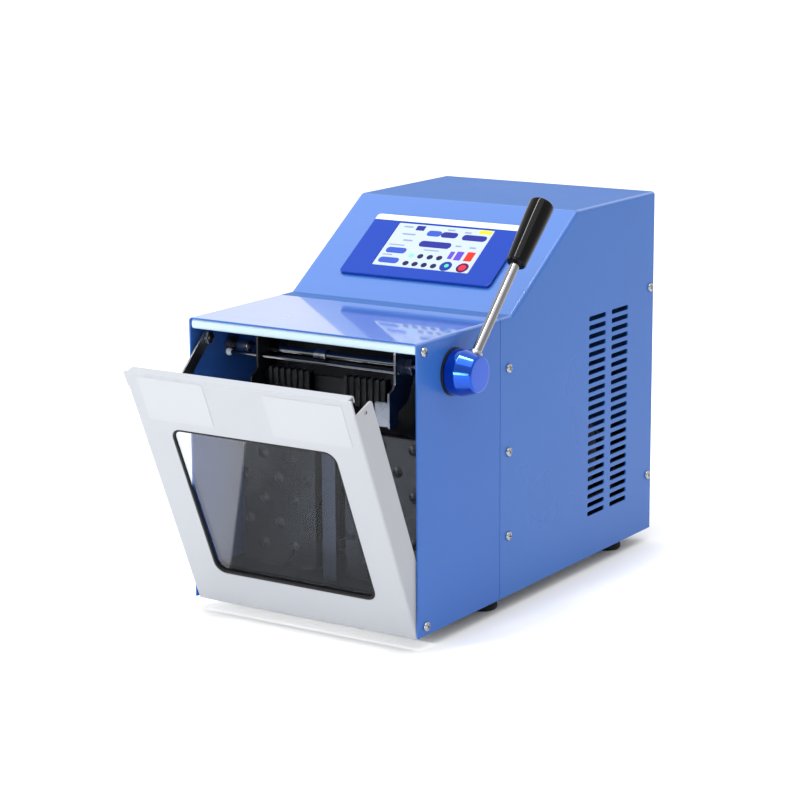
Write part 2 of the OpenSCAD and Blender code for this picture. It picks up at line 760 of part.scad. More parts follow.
module switch_frame() color("#141417") {
    back = panel_y + wall;
    difference() {
        union() {
            box([power_x - 11 + fit, back - 24, switch_z - 15 + fit],
                [power_x + 11 - fit, back, switch_z + 15 - fit]);
            box([power_x - 12.5, back, switch_z - 16.5], [power_x + 12.5, back + 2, switch_z + 16.5]);
        }
        half = rocker_half + 0.1;
        box([power_x - half, back - 16, switch_z - 12.8], [power_x + half, back + 3, switch_z + 12.8]);
    }
}

module door_frame() color("whitesmoke") door_place() {
    difference() {
        front_slab(0, door_t) difference() {
            translate([-door_x, door_low]) square([2 * door_x, door_h]);
            round_rect(-window_x, window_z, window_x, window_z + window_h, window_r);
        }
    }
    mirror_x() difference() {
        box([door_x - door_t, 0, door_low], [door_x, door_flange, door_low + door_flange_top]);
        rod_x(hinge_r + fit, door_x - door_t - 1, door_x + 1, hinge_y, hinge_z);
        rod_x(2.2 + fit, door_x - door_t - 1, door_x + 1, eyelet_y, eyelet_z);
    }
    box([-hem_x, 0, door_top - door_t], [hem_x, hem_d, door_top]);
    box([-hem_x, hem_d - door_t, door_top - hem_drop], [hem_x, hem_d, door_top]);
}

module pane_outline() {
    reach = window_x + pane_lap;
    round_rect(-reach, window_z - pane_lap, reach, window_z + window_h + pane_lap, window_r);
}

module window_gasket() color("#121316") door_place() {
    front_slab(0.3, door_t) difference() {
        round_rect(-window_x + fit, window_z + fit, window_x - fit, window_z + window_h - fit, window_r);
        round_rect(-window_x + 2, window_z + 2, window_x - 2, window_z + window_h - 2, window_r - 2);
    }
    front_slab(door_t, pane_y) difference() {
        pane_outline();
        round_rect(-window_x + 2, window_z + 2, window_x - 2, window_z + window_h - 2, window_r - 2);
    }
}

module door_window() color([0.8, 0.9, 0.95, 0.35]) door_place()
    front_slab(pane_y, pane_y + pane_t) pane_outline();

module blank_labels() color("white") door_place() {
    box([-door_x + 12, -0.25, door_top - 43], [-door_x + 76, 0, door_top - 3]);
    box([door_x - 83, -0.25, door_top - 43], [door_x - 10, 0, door_top - 5]);
}

module flange_eyelets() color("silver") door_place() mirror_x() difference() {
    union() {
        rod_x(2.2, door_x - door_t - 1, door_x, eyelet_y, eyelet_z);
        rod_x(3.6, door_x - door_t - 1.2, door_x - door_t, eyelet_y, eyelet_z);
    }
    rod_x(1.2, door_x - door_t - 2, door_x + 1, eyelet_y, eyelet_z);
}

module stay_pin() color("silver") door_place()
    rod_x(stay_pin_r, -door_x + door_t, -stay_x - run_gap, stay_pin_in, stay_pin_z);

module door_stay() color("#2b2d31") translate([0, stay_y, stay_z]) rotate([-stay_angle, 0, 0])
    side_slab(-stay_x, -stay_x + stay_t) difference() {
        round_bar([0, 0], [0, -stay_reach], stay_w / 2);
        circle(stay_pivot_r + fit);
        round_bar([0, -stay_near], [0, -stay_reach], stay_pin_r + 0.3);
    }

module lever_shaft() color("silver") rod_x(shaft_r, -half_w, hub_x + shaft_in, shaft_y, shaft_z);

// What stands on the lever's line, drawn upright from the shaft axis
module lever_place() { translate([lever_x, shaft_y, shaft_z]) rotate([-lever_tilt, 0, 0]) children(); }

module lever_hub() color("#0f4fd0") difference() {
    translate([hub_x, shaft_y, shaft_z]) rotate([0, 90, 0]) rotate_extrude()
        polygon([[0, 0], [hub_r, 0], [hub_r, hub_straight], [hub_end_r, hub_l - hub_edge],
            [hub_end_r - hub_edge, hub_l], [0, hub_l]]);
    rod_x(shaft_r, hub_x - 1, hub_x + shaft_in, shaft_y, shaft_z);
    lever_place() rod_z(lever_r, rod_in, hub_r + 2, 0, 0);
}

module lever_rod() color("silver") lever_place() rod_z(lever_r, rod_in, grip_start + 20, 0, 0);

module lever_grip() color("#101012") lever_place() difference() {
    round_r = 4;
    translate([0, 0, grip_start]) rotate_extrude() {
        polygon([[0, 0], [grip_r1 - 0.6, 0], [grip_r1, 0.6], [grip_r2, grip_l - round_r],
            [grip_r2 - round_r, grip_l - round_r], [grip_r2 - round_r, grip_l], [0, grip_l]]);
        translate([grip_r2 - round_r, grip_l - round_r]) intersection() {
            circle(round_r);
            square(round_r);
        }
    }
    rod_z(lever_r, 0, grip_start + 20, 0, 0);
}

// One clamp arm in side view, measured from the shaft axis
module arm_outline() difference() {
    union() {
        circle(15);
        polygon([[-18.6, 15], [-18.6, -12], [-22, -16], [-arm_front, -18], [-arm_front, -arm_drop + 2],
            [-arm_front + 2, -arm_drop], [-arm_front + 9, -arm_drop], [-arm_front + 12, -arm_drop + 4],
            [-arm_front + 13, -35], [0, -28], [8, -12], [0, 15]]);
    }
    circle(shaft_r + fit);
    translate([bag_y - shaft_y, bag_z - shaft_z]) circle(bag_rod_r + fit);
}

module clamp_arms() color("silver") mirror_x() {
    side_slab(arm_x, arm_x + arm_t) translate([shaft_y, shaft_z]) arm_outline();
    tab_y = shaft_y - arm_front;
    tab_z = shaft_z - arm_drop + 2;
    box([arm_x - tab_w, tab_y, tab_z], [arm_x + arm_t / 2, tab_y + arm_t, tab_z + tab_h]);
}

module clamp_bar() color("#3a3c40")
    box([-arm_x + fit, bar_front, bar_low], [arm_x - fit, bar_front + clamp_t, bar_low + clamp_h]);

module clamp_pads() color("#141516") mirror_x() {
    front = bar_front - pad_t;
    pad_top = pad_low + pad_h;
    pitch = (pad_w - rib_w) / (rib_count - 1);
    box([pad_x, front, pad_low], [pad_x + pad_w, bar_front, pad_top]);
    for (x = [pad_x : pitch : pad_x + pad_w - rib_w / 2]) {
        box([x, front - rib_t, pad_low], [x + rib_w, bar_front, pad_top]);
        rod_y(rib_w / 2, front - rib_t, bar_front, x + rib_w / 2, pad_top);
    }
}

module bag_rod() color("silver") {
    rod_x(bag_rod_r, bag_left, arm_x + arm_t + 1, bag_y, bag_z);
    translate([bag_left, bag_y, bag_z]) sphere(ball_r);
}

module shaft_collars() color("silver") for (x = collar_places) difference() {
    rod_x(collar_r, x - collar_l / 2, x + collar_l / 2, shaft_y, shaft_z);
    rod_x(shaft_r + fit, x - collar_l, x + collar_l, shaft_y, shaft_z);
    rod_y(1.5, shaft_y - collar_r - 1, shaft_y, x, shaft_z);
}

module arm_nuts() color("silver") mirror_x() difference() {
    translate([arm_x + arm_t, shaft_y, shaft_z]) rotate([0, 90, 0]) cylinder(r = 7.5, h = 6, $fn = 6);
    rod_x(shaft_r + fit, arm_x, arm_x + 20, shaft_y, shaft_z);
}

// The paddle on the right: a slab with rounded corners and staggered domes
module paddle() {
    low = paddle_x - paddle_w / 2;
    front_slab(paddle_y, paddle_y + paddle_t)
        round_rect(low, paddle_low, low + paddle_w, paddle_low + paddle_h, paddle_corner);
    for (column = [-2 : 2]) {
        first = column % 2 == 0 ? bump_low + bump_pitch_z / 2 : bump_low;
        room = paddle_low + paddle_h - bump_r - first;
        for (row = [0 : floor(room / bump_pitch_z)])
            translate([paddle_x + column * bump_pitch_x, paddle_y, first + row * bump_pitch_z])
                rotate([90, 0, 0]) bump();
    }
}

// A low dome, drawn standing on z = 0 with its foot sunk in
module bump() intersection() {
    translate([0, 0, bump_h - bump_ball]) sphere(bump_ball);
    translate([0, 0, -1]) cylinder(r = bump_r + 1, h = bump_h + 2);
}

module paddle_right() color("#1a1c20") paddle();
module paddle_left() color("#1a1c20") mirror([1, 0, 0]) paddle();

// The push rod on the right, with its forked head and wrist pin
module push_rod() {
    slot = con_t / 2 + 0.4;
    rod_y(push_r, paddle_y + paddle_t, rod_back, paddle_x, push_z);
    difference() {
        box([paddle_x - head_half, head_y, push_z - head_half],
            [paddle_x + head_half, wrist_y + 10, push_z + head_half]);
        rod_y(push_r, head_y - 1, rod_back, paddle_x, push_z);
        box([paddle_x - slot, wrist_y - 11, push_z - 20], [paddle_x + slot, wrist_y + 20, push_z + 20]);
    }
    rod_x(wrist_r, paddle_x - head_half, paddle_x + head_half, wrist_y, push_z);
}

module push_rods_right() color("silver") push_rod();
module push_rods_left() color("silver") mirror([1, 0, 0]) push_rod();

// The connecting rod on the right, with a wide ring round its eccentric
module con_rod() side_slab(paddle_x - con_t / 2, paddle_x + con_t / 2) difference() {
    union() {
        translate([wrist_y, push_z]) circle(9);
        translate([wrist_y, push_z - 6]) square([con_rod_l - con_ring_in - 1, 12]);
        translate([crank_y, push_z]) circle(con_ring_out);
    }
    translate([wrist_y, push_z]) circle(wrist_r + fit);
    translate([crank_y, push_z]) circle(con_ring_in);
}

module con_rod_right() color("darkgray") con_rod();
module con_rod_left() color("darkgray") mirror([1, 0, 0]) con_rod();

module crank_shaft() color("silver") {
    rod_x(crank_r, -block_in - block_t - 6, pulley_in + pulley_t + 2, crank_y, push_z);
    for (side = [-1, 1])
        rod_x(eccentric_r, side * paddle_x - 6, side * paddle_x + 6, crank_y, push_z - side * stroke);
    rod_x(big_pulley_r, pulley_in, pulley_in + pulley_t, crank_y, push_z);
    for (x = [pulley_in, pulley_in + pulley_t - flange_t])
        rod_x(big_pulley_r + flange_r, x, x + flange_t, crank_y, push_z);
}

module motor_rotor() color("silver") {
    rod_x(motor_shaft_r, motor_high_x - 9, pulley_in + pulley_t + 2, motor_y, motor_z);
    rod_x(small_pulley_r, pulley_in, pulley_in + pulley_t, motor_y, motor_z);
    for (x = [pulley_in, pulley_in + pulley_t - flange_t])
        rod_x(small_pulley_r + flange_r, x, x + flange_t, motor_y, motor_z);
}

module fan_rotor() color("#232428") {
    hub_y = panel_y - fan_t + 6.5;
    rod_y(fan_hub - 1, hub_y, panel_y - 3, 0, fan_z);
    for (turn = [0 : 360 / 7 : 359]) translate([0, hub_y + 7.5, fan_z]) rotate([0, turn, 0])
        rotate([38, 0, 0]) translate([fan_hub - 3, -7, -0.9]) cube([fan_bore - fan_hub + 1, 14, 1.8]);
}

module rocker() color("#c01818") translate([0, guard_y - 6, switch_z]) rotate([-rocker_tilt, 0, 0])
    side_slab(power_x - rocker_half, power_x + rocker_half)
        polygon([[6.6, 0], [8.6, 11], [-3, 11], [-3, -11], [8.6, -11]]);

at_origin() front_hood();
at_origin() rear_cover();
at_origin() rear_panel();
at_origin() base_plate();
at_origin() light_rail();
at_origin() chamber_back();
at_origin() chamber_floor();
at_origin() centre_bar();
at_origin() touch_bezel();
at_origin() touch_screen();
at_origin() display_board();
at_origin() side_screws();
at_origin() pan_screws();
at_origin() feet();
at_origin() hinge_pins();
at_origin() hub_washer();
at_origin() shaft_bushes();
at_origin() stay_pivot();
at_origin() electronics_shelf();
at_origin() power_supply();
at_origin() motor_controller();
at_origin() drive_frame();
at_origin() rod_bushes();
at_origin() rod_wipers();
at_origin() bearing_blocks();
at_origin() shaft_bearings();
at_origin() motor_body();
at_origin() motor_mount();
at_origin() drive_belt();
at_origin() fan_frame();
at_origin() fan_guard();
at_origin() inlet_socket();
at_origin() switch_frame();
at_origin() door_frame();
at_origin() window_gasket();
at_origin() door_window();
at_origin() blank_labels();
at_origin() flange_eyelets();
at_origin() stay_pin();
at_origin() door_stay();
at_origin() lever_shaft();
at_origin() lever_hub();
at_origin() lever_rod();
at_origin() lever_grip();
at_origin() clamp_arms();
at_origin() clamp_bar();
at_origin() clamp_pads();
at_origin() bag_rod();
at_origin() shaft_collars();
at_origin() arm_nuts();
at_origin() paddle_left();
at_origin() paddle_right();
at_origin() push_rods_left();
at_origin() push_rods_right();
at_origin() con_rod_left();
at_origin() con_rod_right();
at_origin() crank_shaft();
at_origin() motor_rotor();
at_origin() fan_rotor();
at_origin() rocker();
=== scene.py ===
import json
import math
import bpy
import bmesh
from mathutils import Matrix, Vector


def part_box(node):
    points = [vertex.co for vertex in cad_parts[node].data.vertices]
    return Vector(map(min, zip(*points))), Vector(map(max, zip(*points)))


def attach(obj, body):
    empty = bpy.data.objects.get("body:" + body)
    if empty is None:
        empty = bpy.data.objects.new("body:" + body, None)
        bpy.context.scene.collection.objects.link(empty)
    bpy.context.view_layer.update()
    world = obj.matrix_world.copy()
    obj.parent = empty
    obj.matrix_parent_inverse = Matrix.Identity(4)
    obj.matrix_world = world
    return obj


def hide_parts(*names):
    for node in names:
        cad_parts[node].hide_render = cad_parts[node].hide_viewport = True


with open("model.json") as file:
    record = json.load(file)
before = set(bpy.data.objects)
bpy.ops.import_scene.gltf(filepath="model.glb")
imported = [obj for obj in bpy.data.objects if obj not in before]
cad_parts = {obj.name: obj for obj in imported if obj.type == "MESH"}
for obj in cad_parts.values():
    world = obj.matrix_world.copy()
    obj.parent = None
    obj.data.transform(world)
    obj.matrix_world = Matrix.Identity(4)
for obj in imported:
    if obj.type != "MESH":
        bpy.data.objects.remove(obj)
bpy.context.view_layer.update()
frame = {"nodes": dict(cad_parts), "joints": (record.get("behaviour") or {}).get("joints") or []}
nodes = frame["nodes"]
joints = {j["name"]: j for j in frame["joints"]}
print("frame loaded:", len(nodes), "nodes")

# places: the housing's own millimetres, x right, y back from its front edge, z up from the bench
mm = 0.001
hoodLow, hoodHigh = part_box("front_hood")
home = Vector(((hoodLow.x + hoodHigh.x) / 2, hoodLow.y, 0))
toWorld = Matrix.Translation(home) @ Matrix.Scale(mm, 4)


def inHousing(point):
    return (Vector(point) - home) / mm


def spin(axis, degrees):
    return Matrix.Rotation(math.radians(degrees), 4, axis)


def shift(x, y, z):
    return Matrix.Translation((x, y, z))


# sideView is drawn y, z and thick along x; frontView is drawn x, z and thick along -y
sideView = Matrix(((0, 0, 1, 0), (1, 0, 0, 0), (0, 1, 0, 0), (0, 0, 0, 1)))
frontView = Matrix(((1, 0, 0, 0), (0, 0, -1, 0), (0, 1, 0, 0), (0, 0, 0, 1)))
alongX = spin("Y", 90)
alongBack = spin("X", -90)

body = dict(
    halfWidth=110, wall=1.5, bend=3, foot=12, hoodTop=247.5, top=320, seam=124.4, seamGap=0.4,
    slopeFoot=142.4, slopeTop=250.4, rear=390, chamber=107, floor=34,
)
inner = body["halfWidth"] - body["wall"]
doorOpen = -joints["door_hinge"]["range_deg"][0]
doorPivot = inHousing(joints["door_hinge"]["pos_m"])
doorPlace = (shift(0, doorPivot.y, doorPivot.z) @ spin("X", doorOpen)
             @ shift(0, -doorPivot.y, -doorPivot.z))
leverPivot = inHousing(joints["lever_turn"]["pos_m"])
slopeAngle = math.degrees(math.atan2(body["top"] - body["hoodTop"],
                                     body["slopeTop"] - body["slopeFoot"]))
slopePlace = shift(0, body["slopeFoot"], body["hoodTop"]) @ spin("X", slopeAngle)


# camera: the photo's own view
photoCamera = dict(
    place=(1105.3, -1542.2, 608.3), turn=33.2468, down=12.4211, roll=-0.3640, lens=110.354, sensor=36,
)


def makeCamera(c):
    turn, down, roll = (math.radians(c[k]) for k in ("turn", "down", "roll"))
    ahead = Vector((-math.sin(turn) * math.cos(down), math.cos(turn) * math.cos(down), -math.sin(down)))
    right = Vector((math.cos(turn), math.sin(turn), 0))
    up = right.cross(ahead)
    level, tilt = math.cos(roll), math.sin(roll)
    right, up = level * right + tilt * up, level * up - tilt * right
    data = bpy.data.cameras.new("photoCamera")
    data.lens, data.sensor_width = c["lens"], c["sensor"]
    data.clip_start, data.clip_end = 0.05, 50
    camera = bpy.data.objects.new("photoCamera", data)
    bpy.context.scene.collection.objects.link(camera)
    turnMatrix = Matrix((right, up, -ahead)).transposed().to_4x4()
    camera.matrix_world = Matrix.Translation(toWorld @ Vector(c["place"])) @ turnMatrix
    bpy.context.scene.camera = camera


makeCamera(photoCamera)
bpy.context.scene.view_settings.view_transform = "Standard"
print("camera made")


# shader groups
def newGroup(name, inputs, outputs):
    group = bpy.data.node_groups.new(name, "ShaderNodeTree")
    for label, kind, value in inputs:
        socket = group.interface.new_socket(name=label, in_out="INPUT", socket_type=kind)
        socket.default_value = value
    for label, kind in outputs:
        group.interface.new_socket(name=label, in_out="OUTPUT", socket_type=kind)
    start = group.nodes.new("NodeGroupInput")
    end = group.nodes.new("NodeGroupOutput")
    return group, start, end


def link(tree, a, b):
    tree.links.new(a, b)


def feed(tree, socket, value):
    # a socket is linked, a number or a colour is set
    if isinstance(value, bpy.types.NodeSocket):
        link(tree, value, socket)
    else:
        socket.default_value = value


def mathNode(tree, kind, a, b, clamp=False):
    node = tree.nodes.new("ShaderNodeMath")
    node.operation, node.use_clamp = kind, clamp
    feed(tree, node.inputs[0], a)
    feed(tree, node.inputs[1], b)
    return node.outputs[0]


def vectorNode(tree, kind, a, b):
    node = tree.nodes.new("ShaderNodeVectorMath")
    node.operation = kind
    feed(tree, node.inputs[0], a)
    feed(tree, node.inputs[1], b)
    return node.outputs["Value" if kind == "DOT_PRODUCT" else "Vector"]


def spanNode(tree, value, fromLow, fromHigh, toLow=0.0, toHigh=1.0):
    node = tree.nodes.new("ShaderNodeMapRange")
    labels = ("Value", "From Min", "From Max", "To Min", "To Max")
    for label, amount in zip(labels, (value, fromLow, fromHigh, toLow, toHigh)):
        feed(tree, node.inputs[label], amount)
    return node.outputs["Result"]


def noiseNode(tree, vector, scale, detail=2.0, rough=0.5):
    node = tree.nodes.new("ShaderNodeTexNoise")
    labels = ("Vector", "Scale", "Detail", "Roughness")
    for label, value in zip(labels, (vector, scale, detail, rough)):
        feed(tree, node.inputs[label], value)
    return node.outputs["Fac"]


def coordinates(tree, kind="Object"):
    return tree.nodes.new("ShaderNodeTexCoord").outputs[kind]


def buildGrain():
    # fine surface grain and slow patches, from two sizes of noise
    group, start, end = newGroup(
        "surfaceGrain",
        [("Grain Scale", "NodeSocketFloat", 600.0), ("Patch Scale", "NodeSocketFloat", 9.0)],
        [("Height", "NodeSocketFloat"), ("Patches", "NodeSocketFloat")],
    )
    place = coordinates(group)
    link(group, noiseNode(group, place, start.outputs["Grain Scale"], 3), end.inputs["Height"])
    link(group, noiseNode(group, place, start.outputs["Patch Scale"], 2, 0.45), end.inputs["Patches"])
    return group


def buildBrush():
    # lines left by brushing or turning, stretched by the vector given
    group, start, end = newGroup(
        "brushLines",
        [("Line Scale", "NodeSocketFloat", 900.0), ("Stretch", "NodeSocketVector", (1, 1, 1))],
        [("Height", "NodeSocketFloat"), ("Streaks", "NodeSocketFloat")],
    )
    stretched = vectorNode(group, "MULTIPLY", coordinates(group), start.outputs["Stretch"])
    link(group, noiseNode(group, stretched, start.outputs["Line Scale"], 2), end.inputs["Height"])
    slow = mathNode(group, "MULTIPLY", start.outputs["Line Scale"], 0.12)
    link(group, noiseNode(group, stretched, slow, 3), end.inputs["Streaks"])
    return group


def buildEdgeWearAndHighlight():
    # where an edge turns away, for thin paint and polished corners, and for a painted highlight along the
    # edge
    group, start, end = newGroup(
        "edgeWearAndHighlight",
        [("Radius", "NodeSocketFloat", 0.0006), ("Gain", "NodeSocketFloat", 3.0)],
        [("Edge", "NodeSocketFloat")],
    )
    bevel = group.nodes.new("ShaderNodeBevel")
    bevel.samples = 4
    link(group, start.outputs["Radius"], bevel.inputs["Radius"])
    geometry = group.nodes.new("ShaderNodeNewGeometry")
    alike = vectorNode(group, "DOT_PRODUCT", bevel.outputs["Normal"], geometry.outputs["Normal"])
    away = mathNode(group, "SUBTRACT", 1.0, alike, True)
    link(group, mathNode(group, "MULTIPLY", away, start.outputs["Gain"], True), end.inputs["Edge"])
    return group


def buildSmudge():
    # faint wipe marks and dust that change the roughness
    group, start, end = newGroup(
        "wipeMarks",
        [("Mark Scale", "NodeSocketFloat", 14.0), ("Low", "NodeSocketFloat", 0.2),
         ("High", "NodeSocketFloat", 0.3)],
        [("Roughness", "NodeSocketFloat")],
    )
    marks = noiseNode(group, coordinates(group), start.outputs["Mark Scale"], 2, 0.45)
    dullness = spanNode(group, marks, 0.15, 0.85, start.outputs["Low"], start.outputs["High"])
    link(group, dullness, end.inputs["Roughness"])
    return group


def buildUpMask():
    # 1 where a surface looks up, 0 where it looks sideways or down, by the piece's own axes
    group, start, end = newGroup(
        "upwardMask",
        [("Low", "NodeSocketFloat", 0.3), ("High", "NodeSocketFloat", 0.75)],
        [("Mask", "NodeSocketFloat")],
    )
    split = group.nodes.new("ShaderNodeSeparateXYZ")
    link(group, coordinates(group, "Normal"), split.inputs[0])
    mask = spanNode(group, split.outputs["Z"], start.outputs["Low"], start.outputs["High"])
    link(group, mask, end.inputs["Mask"])
    return group


def buildGlare():
    # the side of a slanted line on a pane, where the studio shows as a pale veil
    group, start, end = newGroup(
        "glareMask",
        [("Slant", "NodeSocketVector", (-1, 0, 0.4718)), ("Line", "NodeSocketFloat", 0.09897)],
        [("Veil", "NodeSocketFloat")],
    )
    across = vectorNode(group, "DOT_PRODUCT", coordinates(group), start.outputs["Slant"])
    past = mathNode(group, "SUBTRACT", across, start.outputs["Line"])
    link(group, spanNode(group, past, -0.0004, 0.0004), end.inputs["Veil"])
    return group


grainGroup, brushGroup, edgeWearAndHighlightGroup, smudgeGroup = buildGrain(), buildBrush(), buildEdgeWearAndHighlight(), buildSmudge()
maskGroup, glareGroup = buildUpMask(), buildGlare()


def srgb(r, g, b):
    def one(v):
        v /= 255
        return v / 12.92 if v <= 0.04045 else ((v + 0.055) / 1.055) ** 2.4
    return (one(r), one(g), one(b), 1)


def placeGroup(tree, group, **values):
    # grainScale=300 sets the group's input "Grain Scale"
    node = tree.nodes.new("ShaderNodeGroup")
    node.node_tree = group
    for key, value in values.items():
        label = "".join(" " + letter if letter.isupper() else letter for letter in key).title()
        node.inputs[label].default_value = value
    return node


def mixColour(tree, factor, a, b):
    node = tree.nodes.new("ShaderNodeMix")
    node.data_type = "RGBA"
    for socket, value in ((0, factor), (6, a), (7, b)):
        feed(tree, node.inputs[socket], value)
    return node.outputs[2]


def bumpNode(tree, height, strength, distance):
    node = tree.nodes.new("ShaderNodeBump")
    node.inputs["Strength"].default_value = strength
    node.inputs["Distance"].default_value = distance
    link(tree, height, node.inputs["Height"])
    return node.outputs["Normal"]


def finishMaterial(name, colour, second, rough, metallic=0.0, grain=600.0, bump=0.1, depth=0.00004,
                   brush=None, edge=None, coat=0.0, coatRough=0.05, coatIor=1.5, coatUp=False,
                   specular=0.5, levelShadeTone=None):
    # one recipe for paint, plastic, rubber and metal: two tones, wipe marks, grain or brushing, edges
    # with thin paint and a painted highlight
    # coatUp keeps the coat to what looks up, or with "slopes" to slopes; a level tone darkens the level
    # top as painted shade and makes it rougher
    mat = bpy.data.materials.new(name)
    mat.use_nodes = True
    tree = mat.node_tree
    shader = tree.nodes["Principled BSDF"]
    grainNode = placeGroup(tree, grainGroup, grainScale=grain)
    tone, height = grainNode.outputs["Patches"], grainNode.outputs["Height"]
    if brush:
        brushNode = placeGroup(tree, brushGroup, lineScale=grain, stretch=brush)
        tone, height = brushNode.outputs["Streaks"], brushNode.outputs["Height"]
    shade = mixColour(tree, mathNode(tree, "MULTIPLY", tone, 0.5), srgb(*colour), srgb(*second))
    # the edge colour stands for thin paint and polished corners, and for a painted highlight caught along
    # the edge
    if edge:
        edgeNode = placeGroup(tree, edgeWearAndHighlightGroup)
        edgeWearAndHighlightTone = mathNode(tree, "MULTIPLY", edgeNode.outputs["Edge"], 0.5)
        shade = mixColour(tree, edgeWearAndHighlightTone, shade, srgb(*edge))
    marks = placeGroup(tree, smudgeGroup, low=rough[0], high=rough[1])
    dullness = marks.outputs["Roughness"]
    # painted shade: the level top is given a darker colour
    if levelShadeTone:
        level = placeGroup(tree, maskGroup, low=0.88, high=0.98).outputs["Mask"]
        shade = mixColour(tree, level, shade, srgb(*levelShadeTone))
        dullness = mathNode(tree, "ADD", dullness, mathNode(tree, "MULTIPLY", level, 0.3))
    link(tree, shade, shader.inputs["Base Color"])
    link(tree, dullness, shader.inputs["Roughness"])
    link(tree, bumpNode(tree, height, bump, depth), shader.inputs["Normal"])
    shader.inputs["Metallic"].default_value = metallic
    shader.inputs["Specular IOR Level"].default_value = specular
    if coat:
        shader.inputs["Coat Weight"].default_value = coat
        shader.inputs["Coat Roughness"].default_value = coatRough
        shader.inputs["Coat IOR"].default_value = coatIor
    if coatUp:
        mask = placeGroup(tree, maskGroup, low=0.3, high=0.75).outputs["Mask"]
        if coatUp == "slopes":  # leaves out what lies level
            notLevel = placeGroup(tree, maskGroup, low=1.0, high=0.9).outputs["Mask"]
            mask = mathNode(tree, "MULTIPLY", mask, notLevel)
        link(tree, mask, shader.inputs["Coat Weight"])
    return mat


def glassMaterial(name, colour, rough, ior, coatIor):
    mat = bpy.data.materials.new(name)
    mat.use_nodes = True
    tree = mat.node_tree
    shader = tree.nodes["Principled BSDF"]
    shader.inputs["Transmission Weight"].default_value = 1.0
    shader.inputs["IOR"].default_value = ior
    grainNode = placeGroup(tree, grainGroup, grainScale=40.0, patchScale=6.0)
    shade = mixColour(tree, grainNode.outputs["Patches"], srgb(*colour), srgb(*[c - 4 for c in colour]))
    link(tree, shade, shader.inputs["Base Color"])
    marks = placeGroup(tree, smudgeGroup, low=rough[0], high=rough[1])
    link(tree, marks.outputs["Roughness"], shader.inputs["Roughness"])
    shader.inputs["Coat IOR"].default_value = coatIor
    shader.inputs["Coat Roughness"].default_value = 0.02
    link(tree, placeGroup(tree, glareGroup).outputs["Veil"], shader.inputs["Coat Weight"])
    # lets the lamps light what lies behind
    shadow = tree.nodes.new("ShaderNodeLightPath").outputs["Is Shadow Ray"]
    clear = mathNode(tree, "SUBTRACT", 1.0, mathNode(tree, "MULTIPLY", shadow, 0.85))
    link(tree, clear, shader.inputs["Alpha"])
    return mat


def litMaterial(name, colour, second, glow):
    # display film: lit from behind, with a slightly uneven backlight
    mat = finishMaterial(name, colour, second, (0.08, 0.16), grain=2500, bump=0.02, depth=0.00001,
                         specular=0.15)
    tree = mat.node_tree
    shader = tree.nodes["Principled BSDF"]
    link(tree, shader.inputs["Base Color"].links[0].from_socket, shader.inputs["Emission Color"])
    shader.inputs["Emission Strength"].default_value = glow
    return mat


